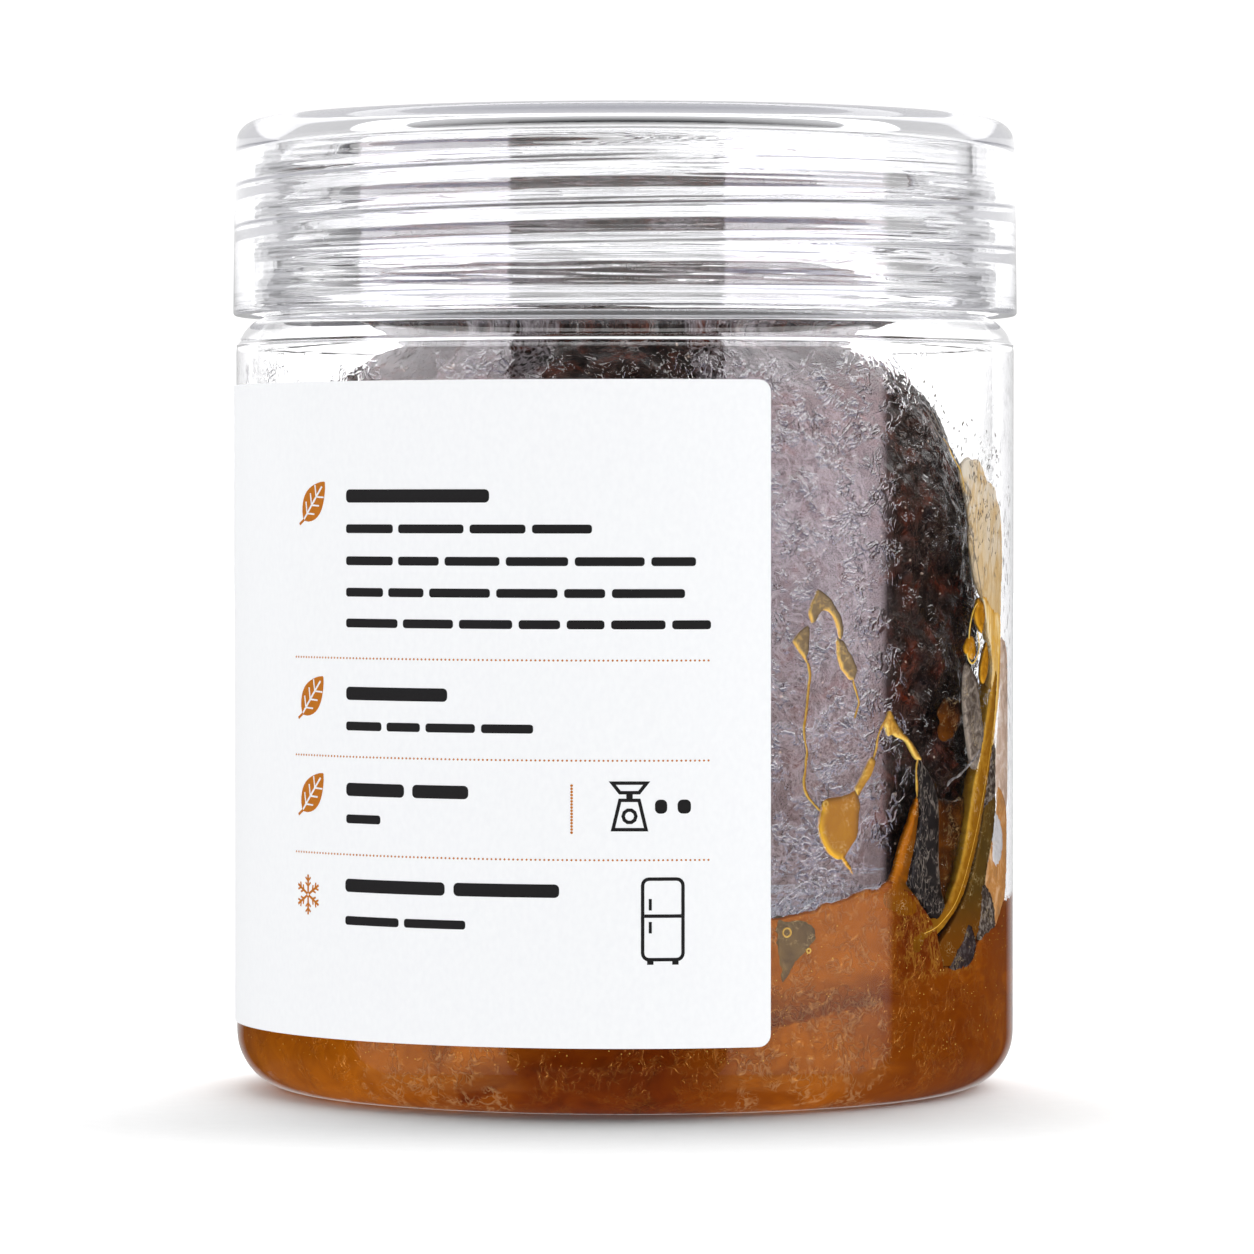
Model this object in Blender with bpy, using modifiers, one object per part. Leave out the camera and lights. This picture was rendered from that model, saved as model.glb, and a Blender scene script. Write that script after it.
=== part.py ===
"""Date pudding in a clear wide-mouth jar, with toffee sauce, a screw lid and a wrap label.

Metres, +Z up. The origin is the centre of the circle that the jar stands on, and the
side that the label's free edge shows on faces -Y. Azimuths are in degrees from -Y,
counted towards +X.
"""

import math

import bmesh
import bpy
from mathutils import Matrix, Vector, noise

MM = 0.001

# Round pieces
SEGMENTS = 48
CLEARANCE = 0.3 * MM
MERGE = 0.01 * MM
SHARP_ANGLE = 35.0
HEEL_STEPS = 5
HEEL_INNER_STEPS = 4
SHOULDER_STEPS = 4
SHOULDER_INNER_STEPS = 3

# Jar body
JAR_RADIUS = 32.25 * MM
WALL = 1.5 * MM
HEEL_RADIUS = 4.7 * MM
FOOT_RING_INNER = 24.5 * MM
PUSH_UP_HEIGHT = 0.8 * MM
SHOULDER_HEIGHT = 60.7 * MM
SHOULDER_RADIUS = 3.1 * MM
NECK_RADIUS = 30.0 * MM
NECK_BORE = 28.6 * MM
RIM_HEIGHT = 78.35 * MM
RIM_ROUND = 0.35 * MM
BEAD_HEIGHT = 65.2 * MM
BEAD_CREST = 30.75 * MM
BEAD_HALF = 0.55 * MM

# Lid
LID_RADIUS = 32.5 * MM
LID_DRAFT = 0.15 * MM
LID_TOP = 80.0 * MM
LID_SKIRT = 16.1 * MM
LID_PLATE = 1.25 * MM
LID_BORE = 31.2 * MM
LID_ROUND = 2.0 * MM
LID_INNER_ROUND = 1.5 * MM
LID_EDGE = 0.25 * MM
LID_ROUND_STEPS = 4
LID_INNER_STEPS = 3

# Threads, one on the neck and one in the lid, half a pitch apart
PITCH = 3.4 * MM
THREAD_ROOT_HALF = 0.7 * MM
THREAD_CREST_HALF = 0.25 * MM
THREAD_FOOT = 0.3 * MM
RUN_OUT_STEPS = 5
RUN_OUT_SUNK = 0.15
NECK_CREST = 30.85 * MM
NECK_THREAD_AZIMUTH = 22.5
NECK_THREAD_START = 66.9 * MM
NECK_THREAD_TURNS = 3
LID_CREST = 30.5 * MM
LID_THREAD_TURNS = 2

# Label
LABEL_RADIUS = 32.5 * MM
LABEL_THICKNESS = 0.13 * MM
LABEL_BOTTOM = 5.6 * MM
LABEL_TOP = 58.1 * MM
LABEL_FRONT_EDGE = 20.7
LABEL_BACK_EDGE = -169.3
LABEL_CORNER = 1.0 * MM

# Pudding: a dome on a straight side, its underside lifted at +X
PUDDING_RADIUS = 29.0 * MM
PUDDING_TOP = 63.8 * MM
PUDDING_SPRING = 42.0 * MM
PUDDING_UNDERSIDE = 3.7 * MM
PUDDING_EDGE = 4.0 * MM
DOME_SPREAD = 2.5
DOME_RISE = 2.8
DOME_ROWS = 11
SIDE_ROWS = 7
EDGE_ROWS = 3
FLAT_ROWS = 3
DOME_SHIFT = 0.5 * MM
LIFT_START = 1.0 * MM
LIFT_SLOPE = 0.3
LIFT_HEIGHT = 25.2 * MM
LUMP_SIZE = 7.0 * MM
LUMP_DEPTH = 0.8 * MM
CRUMB_SIZE = 3.2 * MM
CRUMB_DEPTH = 0.45 * MM

# Sauce: its level at the wall, by azimuth, and the streaks that cling above it
SAUCE_RADIUS = JAR_RADIUS - WALL - CLEARANCE
POOL_TOP = 8.7 * MM
POOL_STEP = 0.9
SAUCE_LEVELS = (
    (-180, 13.0),
    (-120, 11.5),
    (-60, 12.5),
    (-10, 11.5),
    (22, 13.7),
    (31, 16.8),
    (41, 18.6),
    (52, 15.4),
    (60, 12.4),
    (75, 14.5),
    (110, 17.0),
    (150, 14.0),
)
STREAK_RADIUS = 30.1 * MM
STREAK_HALF_DEPTH = 0.27 * MM
STREAK_SIDES = 6
STREAK_STEPS = 2
# Each streak is (azimuth, height in mm, half width in mm) along its path
STREAKS = {
    "ribbon": (
        (52.0, 13.0, 1.6),
        (55.6, 16.6, 1.3),
        (59.0, 21.0, 1.0),
        (62.4, 26.7, 0.9),
        (67.0, 31.5, 0.9),
        (71.6, 37.4, 1.3),
        (72.6, 43.0, 1.7),
        (71.0, 48.0, 1.3),
        (69.5, 51.5, 0.7),
    ),
    "right_leg": (
        (42.8, 16.5, 1.5),
        (45.2, 21.0, 1.0),
        (47.8, 25.2, 0.6),
        (47.5, 28.6, 0.55),
        (45.0, 30.6, 0.55),
        (41.9, 31.8, 0.5),
    ),
    "left_leg": (
        (35.5, 25.2, 0.7),
        (38.0, 27.8, 0.55),
        (39.8, 30.4, 0.5),
        (42.2, 32.0, 0.5),
    ),
    "drop": (
        (34.2, 19.7, 0.35),
        (32.8, 21.2, 1.1),
        (32.0, 23.0, 1.55),
        (32.4, 24.8, 1.35),
        (34.7, 25.7, 0.8),
    ),
    "strand": (
        (31.2, 24.4, 0.4),
        (28.2, 25.3, 0.35),
        (27.1, 27.0, 0.35),
        (27.1, 33.0, 0.35),
        (27.4, 36.3, 0.4),
        (26.6, 37.6, 0.65),
        (27.6, 39.3, 0.5),
        (29.6, 41.5, 0.5),
    ),
    "hook": (
        (28.6, 41.2, 0.45),
        (31.6, 39.2, 0.5),
        (33.0, 37.3, 0.5),
        (34.4, 35.0, 0.55),
        (35.6, 32.8, 0.3),
        (35.0, 31.4, 0.2),
    ),
}


def turned(name, profile, closed=False, turns=1, rise=0.0):
    """An object whose (radius, height) profile is turned about Z by a Screw modifier."""
    edges = [(i, i + 1) for i in range(len(profile) - 1)]
    if closed:
        edges.append((len(profile) - 1, 0))
    mesh = bpy.data.meshes.new(name)
    mesh.from_pydata([(r, 0.0, z) for r, z in profile], edges, [])
    obj = bpy.data.objects.new(name, mesh)
    bpy.context.scene.collection.objects.link(obj)
    screw = obj.modifiers.new("turn", "SCREW")
    screw.axis = "Z"
    screw.angle = 2.0 * math.pi
    screw.iterations = turns
    screw.screw_offset = rise
    screw.steps = SEGMENTS
    screw.render_steps = SEGMENTS
    screw.use_merge_vertices = rise == 0.0
    screw.merge_threshold = MERGE
    return obj


def arc(centre, radius, start, end, steps):
    """Points of an arc in the profile plane, from one angle to another, in degrees."""
    points = []
    for i in range(steps + 1):
        angle = math.radians(start + (end - start) * i / steps)
        points.append(
            (centre[0] + radius * math.cos(angle), centre[1] + radius * math.sin(angle))
        )
    return points


def applied(obj):
    """Replaces an object's mesh by its evaluated one and drops its modifiers."""
    bpy.context.view_layer.update()
    graph = bpy.context.evaluated_depsgraph_get()
    mesh = bpy.data.meshes.new_from_object(obj.evaluated_get(graph))
    obj.modifiers.clear()
    obj.data = mesh
    return obj


def reshaped(obj, change):
    """Edits an object's mesh in place with a function of its bmesh."""
    shape = bmesh.new()
    shape.from_mesh(obj.data)
    change(shape)
    bmesh.ops.recalc_face_normals(shape, faces=shape.faces)
    shape.to_mesh(obj.data)
    shape.free()
    return obj


def heading(azimuth):
    """The angle about Z, in radians from +X, of an azimuth in degrees from -Y."""
    return math.radians(azimuth - 90.0)


def around(radius, azimuth, height):
    angle = heading(azimuth)
    return Vector((radius * math.cos(angle), radius * math.sin(angle), height))


def put(obj, collection, material=None):
    """Moves an object to its collection, as a part with a material or as a helper."""
    bpy.context.scene.collection.objects.unlink(obj)
    collection.objects.link(obj)
    if material is None:
        obj.hide_render = True
        obj.display_type = "WIRE"
        return obj
    obj.data.materials.clear()
    obj.data.materials.append(material)
    obj.data.shade_smooth()
    obj.data.set_sharp_from_angle(angle=math.radians(SHARP_ANGLE))
    return obj


def boolean(obj, operation, other):
    modifier = obj.modifiers.new(f"{operation.lower()}_{other.name}", "BOOLEAN")
    modifier.operation = operation
    modifier.solver = "EXACT"
    modifier.object = other


def finish(name, colour, roughness, transmission=0.0):
    material = bpy.data.materials.new(name)
    material.use_nodes = True
    shader = material.node_tree.nodes["Principled BSDF"]
    shader.inputs["Base Color"].default_value = (*colour, 1.0)
    shader.inputs["Roughness"].default_value = roughness
    shader.inputs["Metallic"].default_value = 0.0
    shader.inputs["Transmission Weight"].default_value = transmission
    return material


def thread(name, root, crest, azimuth, start, turns):
    """A screw thread's ridge, from its foot inside the wall to its crest."""
    outward = 1.0 if crest > root else -1.0
    foot = root - outward * THREAD_FOOT
    profile = [
        (foot, -THREAD_ROOT_HALF),
        (foot, THREAD_ROOT_HALF),
        (crest, THREAD_CREST_HALF),
        (crest, -THREAD_CREST_HALF),
    ]
    obj = applied(turned(name, profile, closed=True, turns=turns, rise=PITCH))

    def run_out_and_close(shape):
        shape.verts.ensure_lookup_table()
        steps = SEGMENTS * turns
        for index, vert in enumerate(shape.verts):
            step = index // len(profile)
            share = min(1.0, min(step, steps - step) / RUN_OUT_STEPS)
            radius = math.hypot(vert.co.x, vert.co.y)
            reach = RUN_OUT_SUNK + (1.0 - RUN_OUT_SUNK) * share
            sunk = foot + (radius - foot) * reach
            vert.co.x *= sunk / radius
            vert.co.y *= sunk / radius
            vert.co.z += start
        bmesh.ops.holes_fill(shape, edges=[e for e in shape.edges if e.is_boundary])
        bmesh.ops.rotate(
            shape,
            verts=shape.verts,
            cent=(0.0, 0.0, 0.0),
            matrix=Matrix.Rotation(heading(azimuth), 3, "Z"),
        )

    return reshaped(obj, run_out_and_close)


def floor_height(radius, thickness):
    """Height of the jar's floor, raised towards the centre, above its underside."""
    share = min(1.0, radius / FOOT_RING_INNER)
    return PUSH_UP_HEIGHT * 0.5 * (1.0 + math.cos(math.pi * share)) + thickness


def jar_profile():
    heel_centre = (JAR_RADIUS - HEEL_RADIUS, HEEL_RADIUS)
    shoulder_centre = (JAR_RADIUS - SHOULDER_RADIUS, SHOULDER_HEIGHT)
    neck_angle = math.degrees(
        math.acos((NECK_RADIUS - shoulder_centre[0]) / SHOULDER_RADIUS)
    )
    floor_radii = [FOOT_RING_INNER * share for share in (0.0, 0.5, 1.0)]
    points = [(r, floor_height(r, WALL)) for r in floor_radii]
    points += arc(heel_centre, HEEL_RADIUS - WALL, -90.0, 0.0, HEEL_INNER_STEPS)
    inner_shoulder = SHOULDER_RADIUS - WALL
    points += arc(shoulder_centre, inner_shoulder, 0.0, neck_angle, SHOULDER_INNER_STEPS)
    points.append((NECK_BORE, SHOULDER_HEIGHT + SHOULDER_RADIUS))
    points.append((NECK_BORE, RIM_HEIGHT - RIM_ROUND))
    points.append((NECK_BORE + RIM_ROUND, RIM_HEIGHT))
    points.append((NECK_RADIUS - RIM_ROUND, RIM_HEIGHT))
    points.append((NECK_RADIUS, RIM_HEIGHT - RIM_ROUND))
    points.append((NECK_RADIUS, BEAD_HEIGHT + 2.0 * BEAD_HALF))
    points.append((BEAD_CREST, BEAD_HEIGHT + BEAD_HALF))
    points.append((BEAD_CREST, BEAD_HEIGHT - BEAD_HALF))
    points += arc(shoulder_centre, SHOULDER_RADIUS, neck_angle, 0.0, SHOULDER_STEPS)
    points += arc(heel_centre, HEEL_RADIUS, 0.0, -90.0, HEEL_STEPS)
    points += [(r, floor_height(r, 0.0)) for r in reversed(floor_radii)]
    return points


def make_jar(parts, helpers):
    jar = turned("jar_body", jar_profile())
    ridge = thread(
        "neck_thread",
        NECK_RADIUS,
        NECK_CREST,
        NECK_THREAD_AZIMUTH,
        NECK_THREAD_START,
        NECK_THREAD_TURNS,
    )
    boolean(jar, "UNION", put(ridge, helpers))
    applied(jar)
    put(jar, parts, finish("clear_pet", (0.93, 0.94, 0.95), 0.05, 1.0))


def lid_profile():
    skirt = LID_TOP - LID_SKIRT
    inner_top = LID_TOP - LID_PLATE
    round_centre = (LID_RADIUS - LID_DRAFT - LID_ROUND, LID_TOP - LID_ROUND)
    inner_centre = (LID_BORE - LID_INNER_ROUND, inner_top - LID_INNER_ROUND)
    points = [(0.0, LID_TOP)]
    points += arc(round_centre, LID_ROUND, 90.0, 0.0, LID_ROUND_STEPS)
    points.append((LID_RADIUS, skirt + LID_EDGE))
    points.append((LID_RADIUS - LID_EDGE, skirt))
    points.append((LID_BORE + LID_EDGE, skirt))
    points.append((LID_BORE, skirt + LID_EDGE))
    points += arc(inner_centre, LID_INNER_ROUND, 0.0, 90.0, LID_INNER_STEPS)
    points.append((0.0, LID_TOP - LID_PLATE))
    return points


def make_lid(parts, helpers):
    lid = turned("lid", lid_profile())
    ridge = thread(
        "lid_thread",
        LID_BORE,
        LID_CREST,
        NECK_THREAD_AZIMUTH,
        NECK_THREAD_START + 0.5 * PITCH,
        LID_THREAD_TURNS,
    )
    boolean(lid, "UNION", put(ridge, helpers))
    applied(lid)
    put(lid, parts, finish("clear_lid", (0.94, 0.94, 0.95), 0.08, 1.0))


def label_columns():
    """(azimuth, inset of the top and bottom edges) of the label's columns."""
    corner = math.degrees(LABEL_CORNER / LABEL_RADIUS)
    bend = 1.0 - math.sqrt(0.5)
    ends = [(0.0, 1.0), (corner * bend, bend), (corner, 0.0)]
    step = 360.0 / SEGMENTS
    first = math.ceil((LABEL_BACK_EDGE + 2.0 * corner) / step)
    last = math.floor((LABEL_FRONT_EDGE - 2.0 * corner) / step)
    columns = [(LABEL_BACK_EDGE + a, inset * LABEL_CORNER) for a, inset in ends]
    columns += [(i * step, 0.0) for i in range(first, last + 1)]
    columns += [(LABEL_FRONT_EDGE - a, inset * LABEL_CORNER) for a, inset in ends[::-1]]
    return columns


def make_label(parts):
    columns = label_columns()
    shape = bmesh.new()
    bmesh.ops.create_grid(
        shape, x_segments=len(columns) - 1, y_segments=1, size=0.5
    )
    span = len(columns) - 1
    for vert in shape.verts:
        azimuth, inset = columns[round((vert.co.x + 0.5) * span)]
        top = vert.co.y > 0.0
        height = LABEL_TOP - inset if top else LABEL_BOTTOM + inset
        vert.co = around(LABEL_RADIUS, azimuth, height)
    mesh = bpy.data.meshes.new("label")
    shape.to_mesh(mesh)
    shape.free()
    label = bpy.data.objects.new("label", mesh)
    bpy.context.scene.collection.objects.link(label)
    sheet = label.modifiers.new("paper", "SOLIDIFY")
    sheet.thickness = LABEL_THICKNESS
    sheet.offset = -1.0
    applied(label)
    put(label, parts, finish("label_paper", (0.95, 0.95, 0.96), 0.35))


def pudding_profile():
    points = []
    rise = PUDDING_TOP - PUDDING_SPRING
    for i in range(DOME_ROWS):
        radius = PUDDING_RADIUS * math.sin(0.5 * math.pi * i / DOME_ROWS)
        share = 1.0 - (radius / PUDDING_RADIUS) ** DOME_SPREAD
        points.append((radius, PUDDING_SPRING + rise * share ** (1.0 / DOME_RISE)))
    edge_top = PUDDING_UNDERSIDE + PUDDING_EDGE
    for i in range(SIDE_ROWS):
        height = PUDDING_SPRING + (edge_top - PUDDING_SPRING) * i / SIDE_ROWS
        points.append((PUDDING_RADIUS, height))
    edge_centre = (PUDDING_RADIUS - PUDDING_EDGE, edge_top)
    points += arc(edge_centre, PUDDING_EDGE, 0.0, -90.0, EDGE_ROWS)
    for i in range(1, FLAT_ROWS + 1):
        points.append((edge_centre[0] * (1.0 - i / FLAT_ROWS), PUDDING_UNDERSIDE))
    return points


def lean_and_crumble(shape):
    """Lifts the underside at +X, shifts the dome and adds the crumb's relief."""
    shape.normal_update()
    moved = {}
    for vert in shape.verts:
        x, _, z = vert.co
        low = max(0.0, 1.0 - (z - PUDDING_UNDERSIDE) / LIFT_HEIGHT)
        high = max(0.0, (z - PUDDING_SPRING) / (PUDDING_TOP - PUDDING_SPRING))
        lift = LIFT_SLOPE * max(0.0, x - LIFT_START) * low
        lumps = noise.noise(vert.co / LUMP_SIZE) * LUMP_DEPTH
        crumbs = noise.noise(vert.co / CRUMB_SIZE) * CRUMB_DEPTH
        offset = vert.normal * (lumps + crumbs)
        moved[vert] = vert.co + offset + Vector((DOME_SHIFT * high, 0.0, lift))
    for vert, place in moved.items():
        vert.co = place


def swell(shape):
    """Moves a copy of the pudding's surface out by the clearance to the sauce."""
    shape.normal_update()
    moved = {vert: vert.co + vert.normal * CLEARANCE for vert in shape.verts}
    for vert, place in moved.items():
        vert.co = place


def make_pudding(parts, helpers):
    pudding = applied(turned("date_pudding", pudding_profile()))
    reshaped(pudding, lean_and_crumble)
    hollow = bpy.data.objects.new("pudding_hollow", pudding.data.copy())
    bpy.context.scene.collection.objects.link(hollow)
    reshaped(hollow, swell)
    put(pudding, parts, finish("date_crumb", (0.025, 0.010, 0.006), 0.35))
    return put(hollow, helpers)


def level(azimuth):
    """The sauce's height at the wall, eased between the stated levels."""
    azimuth = (azimuth + 180.0) % 360.0 - 180.0
    knots = list(SAUCE_LEVELS) + [(180, SAUCE_LEVELS[0][1])]
    for (a0, z0), (a1, z1) in zip(knots, knots[1:]):
        if a0 <= azimuth <= a1:
            share = 0.5 - 0.5 * math.cos(math.pi * (azimuth - a0) / (a1 - a0))
            return (z0 + (z1 - z0) * share) * MM
    return SAUCE_LEVELS[0][1] * MM


def pool_profile():
    heel_centre = (JAR_RADIUS - HEEL_RADIUS, HEEL_RADIUS)
    heel = HEEL_RADIUS - WALL - CLEARANCE
    points = [(0.0, POOL_TOP), (POOL_STEP * SAUCE_RADIUS, POOL_TOP)]
    points.append((SAUCE_RADIUS, POOL_TOP))
    points += arc(heel_centre, heel, 0.0, -90.0, HEEL_INNER_STEPS)
    floor_radii = [FOOT_RING_INNER * share for share in (1.0, 0.5, 0.0)]
    points += [(r, floor_height(r, WALL + CLEARANCE)) for r in floor_radii]
    return points


def raise_to_level(shape):
    top = max(vert.co.z for vert in shape.verts)
    for vert in shape.verts:
        if vert.co.z > top - CLEARANCE:
            azimuth = math.degrees(math.atan2(vert.co.x, -vert.co.y))
            vert.co.z = level(azimuth)


def eased(points, steps):
    """Points of a Catmull-Rom curve through the given ones."""
    vectors = [Vector(p) for p in points]
    padded = [vectors[0]] + vectors + [vectors[-1]]
    curve = []
    for i in range(1, len(padded) - 2):
        a, b, c, d = padded[i - 1 : i + 3]
        for k in range(steps):
            t = k / steps
            curve.append(
                0.5
                * (
                    2.0 * b
                    + (c - a) * t
                    + (2.0 * a - 5.0 * b + 4.0 * c - d) * t**2
                    + (3.0 * b - a - 3.0 * c + d) * t**3
                )
            )
    return curve + [vectors[-1]]


def make_streak(name, points):
    """A flat strand of sauce between pudding and wall, lofted along its path."""
    path = eased(points, STREAK_STEPS)
    flat = [
        Vector((heading(a) * STREAK_RADIUS, z * MM, half * MM)) for a, z, half in path
    ]
    shape = bmesh.new()
    rings = []
    for i, here in enumerate(flat):
        before = flat[max(0, i - 1)]
        after = flat[min(len(flat) - 1, i + 1)]
        along = Vector((after.x - before.x, after.y - before.y)).normalized()
        ring = []
        for k in range(STREAK_SIDES):
            turn = 2.0 * math.pi * k / STREAK_SIDES
            side = here.z * math.cos(turn)
            radius = STREAK_RADIUS + STREAK_HALF_DEPTH * math.sin(turn)
            angle = (here.x - along.y * side) / STREAK_RADIUS
            height = here.y + along.x * side
            place = (radius * math.cos(angle), radius * math.sin(angle), height)
            ring.append(shape.verts.new(place))
        rings.append(ring)
    for low, high in zip(rings, rings[1:]):
        for k in range(STREAK_SIDES):
            j = (k + 1) % STREAK_SIDES
            shape.faces.new((low[k], low[j], high[j], high[k]))
    shape.faces.new(rings[0])
    shape.faces.new(rings[-1])
    bmesh.ops.recalc_face_normals(shape, faces=shape.faces)
    mesh = bpy.data.meshes.new(name)
    shape.to_mesh(mesh)
    shape.free()
    obj = bpy.data.objects.new(name, mesh)
    bpy.context.scene.collection.objects.link(obj)
    return obj


def make_sauce(parts, helpers, hollow):
    sauce = applied(turned("toffee_sauce", pool_profile()))
    reshaped(sauce, raise_to_level)
    for name, points in STREAKS.items():
        boolean(sauce, "UNION", put(make_streak(name, points), helpers))
    boolean(sauce, "DIFFERENCE", hollow)
    applied(sauce)
    put(sauce, parts, finish("toffee", (0.36, 0.10, 0.006), 0.1, 0.6))


def main():
    for obj in list(bpy.data.objects):
        bpy.data.objects.remove(obj)
    parts = bpy.data.collections.new("date_pudding_jar")
    helpers = bpy.data.collections.new("cutters")
    for collection in (parts, helpers):
        bpy.context.scene.collection.children.link(collection)
    make_jar(parts, helpers)
    make_lid(parts, helpers)
    make_label(parts)
    hollow = make_pudding(parts, helpers)
    make_sauce(parts, helpers, hollow)


main()
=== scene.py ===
"""The looks of a date pudding in a clear jar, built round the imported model.

Metres, +Z up. The jar stands on its foot ring at the origin, and the side that shows
the label's free edge faces -Y. Azimuths are in degrees from -Y, counted towards +X.
"""

import math
import random

import bmesh
import bpy
import numpy as np
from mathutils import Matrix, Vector, geometry, noise


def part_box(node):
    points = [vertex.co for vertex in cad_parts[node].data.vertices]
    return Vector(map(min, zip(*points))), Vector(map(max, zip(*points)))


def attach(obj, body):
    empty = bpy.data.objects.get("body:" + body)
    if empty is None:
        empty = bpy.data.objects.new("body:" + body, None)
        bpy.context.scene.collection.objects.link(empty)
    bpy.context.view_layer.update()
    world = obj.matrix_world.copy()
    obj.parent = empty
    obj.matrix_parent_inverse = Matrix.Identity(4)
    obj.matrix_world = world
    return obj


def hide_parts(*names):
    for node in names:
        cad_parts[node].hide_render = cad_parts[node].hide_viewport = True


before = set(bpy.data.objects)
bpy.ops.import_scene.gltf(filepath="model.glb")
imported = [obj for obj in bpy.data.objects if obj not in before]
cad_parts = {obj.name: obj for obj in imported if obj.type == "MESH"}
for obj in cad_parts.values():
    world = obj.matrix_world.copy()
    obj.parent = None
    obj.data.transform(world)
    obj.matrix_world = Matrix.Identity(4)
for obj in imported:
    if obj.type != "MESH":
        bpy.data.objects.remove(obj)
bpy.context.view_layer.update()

MM = 0.001
BODY = "root"


def pairs(*numbers):
    """Pairs of numbers, given one after the other."""
    return tuple(zip(numbers[::2], numbers[1::2]))


# Sizes that the frame gives
JAR_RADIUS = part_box("jar_body")[1].x
RIM_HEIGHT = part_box("jar_body")[1].z
LID_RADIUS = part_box("lid")[1].x
LID_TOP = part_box("lid")[1].z
LID_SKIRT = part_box("lid")[0].z
LABEL_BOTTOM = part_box("label")[0].z
LABEL_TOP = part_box("label")[1].z

# Jar, as in the model but for a tighter inner corner at its shoulder, its parting line
# and the bead's slopes
WALL = 1.5 * MM
HEEL_RADIUS = 4.7 * MM
FOOT_RING_INNER = 24.5 * MM
PUSH_UP_HEIGHT = 0.8 * MM
SHOULDER_HEIGHT = 60.7 * MM
SHOULDER_RADIUS = 3.1 * MM
SHOULDER_BEND = 32.5
SHOULDER_TIGHT = 0.7 * MM
BORE_ROUND = 0.3 * MM
PARTING_HEIGHT = 61.45 * MM
PARTING_HALF = 0.2 * MM
PARTING_REACH = 0.07 * MM
NECK_RADIUS = 30.0 * MM
NECK_BORE = 28.6 * MM
RIM_ROUND = 0.35 * MM
BEAD_REACH = 0.75 * MM
# Heights of the bead's upper end, its crest's two edges and its lower end
BEAD_SHAPE = (67.45 * MM, 65.55 * MM, 65.0 * MM, 64.5 * MM)

# Lid, as in the model
LID_DRAFT = 0.15 * MM
LID_PLATE = 1.25 * MM
LID_BORE = 31.2 * MM
LID_ROUND = 2.0 * MM
LID_INNER_ROUND = 1.5 * MM
LID_EDGE = 0.25 * MM

# Threads, on the model's helix with slopes of their own; the lid's stands out less
PITCH = 3.4 * MM
THREAD_RUN_OUT = 0.1
THREAD_AZIMUTH = 22.5
THREAD_START = 66.9 * MM
# Start, turns and reach, and above and below the centre line, where the slopes start and
# where they meet the crest. The neck's thread slopes gently above and steeply below.
NECK_THREAD = (THREAD_START, 3, 0.85 * MM, (0.85 * MM, -0.45 * MM, -1.0 * MM, -1.25 * MM))
LID_THREAD = (THREAD_START + 0.5 * PITCH, 2, 0.2 * MM, (0.28 * MM, 0.08 * MM, -0.3 * MM, -1.1 * MM))

# Fineness of the clear pieces
JAR_SEGMENTS = 240
ROW = 0.09 * MM
NEAR = 0.01 * MM
SHARP_ANGLE = math.radians(40.0)
WALL_ROW = 4.0 * MM

# Label
LABEL_OUTSIDE = 32.45 * MM
LABEL_THICKNESS = 0.13 * MM
LABEL_FRONT_EDGE = 20.7
LABEL_BACK_EDGE = -169.3
LABEL_CORNER = 1.0 * MM

# Pudding, as in the model
PUDDING_RADIUS = 29.0 * MM
PUDDING_TOP = 63.8 * MM
PUDDING_SPRING = 42.0 * MM
PUDDING_UNDERSIDE = 3.7 * MM
PUDDING_EDGE = 4.0 * MM
DOME_SPREAD = 2.5
DOME_RISE = 2.8
DOME_SHIFT = 0.5 * MM
LIFT_START = 1.0 * MM
LIFT_SLOPE = 0.3
LIFT_HEIGHT = 25.2 * MM
LUMP_SIZE = 7.0 * MM
LUMP_DEPTH = 0.8 * MM
CRUMB_SIZE = 3.2 * MM
CRUMB_DEPTH = 0.45 * MM
PUDDING_SEGMENTS = 440
PUDDING_ROW = 0.42 * MM
# The left shoulder's swell: heading and width in degrees, its middle, half height and depth
SWELL_HEADING = 205.0
SWELL_WIDTH = 42.0
SWELL_HEIGHT = 60.5 * MM
SWELL_TALL = 2.6 * MM
SWELL_DEPTH = 0.8 * MM

# Crumb: its patches, grey veil, curls of painted highlight that turn paler as painted reflection where the
# wall mirrors a softbox, specks of painted glint, and gloss
CRUMB_TONES = (
    (0.34, (0.0036, 0.0011, 0.0008)),
    (0.48, (0.0100, 0.0028, 0.0016)),
    (0.58, (0.0360, 0.0062, 0.0020)),
    (0.70, (0.0950, 0.0140, 0.0030)),
)
CRUMB_VEIL = (0.017, 0.010, 0.009)
CRUMB_CURL_HIGHLIGHTS = ((0.16, 0.10, 0.08), (0.36, 0.32, 0.345))
CRUMB_GLINT_SPECKS = (0.60, 0.47, 0.38)
CRUMB_TINT = (1.0, 0.82, 0.72)
# Pool: from dark to its painted glow, its curls, stronger and paler as painted reflection where the wall
# mirrors a softbox, and its gloss
SAUCE_TONES = (
    (0.0, (0.040, 0.0055, 0.0004)),
    (0.28, (0.115, 0.0160, 0.0004)),
    (0.65, (0.200, 0.0410, 0.0004)),
    (1.0, (0.400, 0.1000, 0.0006)),
)
SAUCE_CURLS_AND_REFLECTION = ((0.42, 0.19, 0.025), (0.66, 0.42, 0.20))
SAUCE_TINT = (1.0, 0.5, 0.12)

# Sauce: its level at the wall in mm, by azimuth, finer than in the model
SAUCE_LEVELS = pairs(
    -180, 13.0, -120, 11.5, -60, 12.5, -10, 13.5, 15, 15.4, 21.2, 15.8, 28.8, 16.1, 29.4, 16.5,
    35.1, 17.1, 39.7, 17.7, 41.6, 18.4, 43.6, 17.9, 47.4, 16.8, 50.8, 15.1, 52.8, 14.2, 53.4, 10.9,
    57.5, 10.9, 60.7, 10.8, 62.9, 11.2, 64.0, 12.7, 67.7, 13.4, 71.3, 13.8, 75.7, 15.6, 110, 17.0,
    150, 14.0,
)
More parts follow.
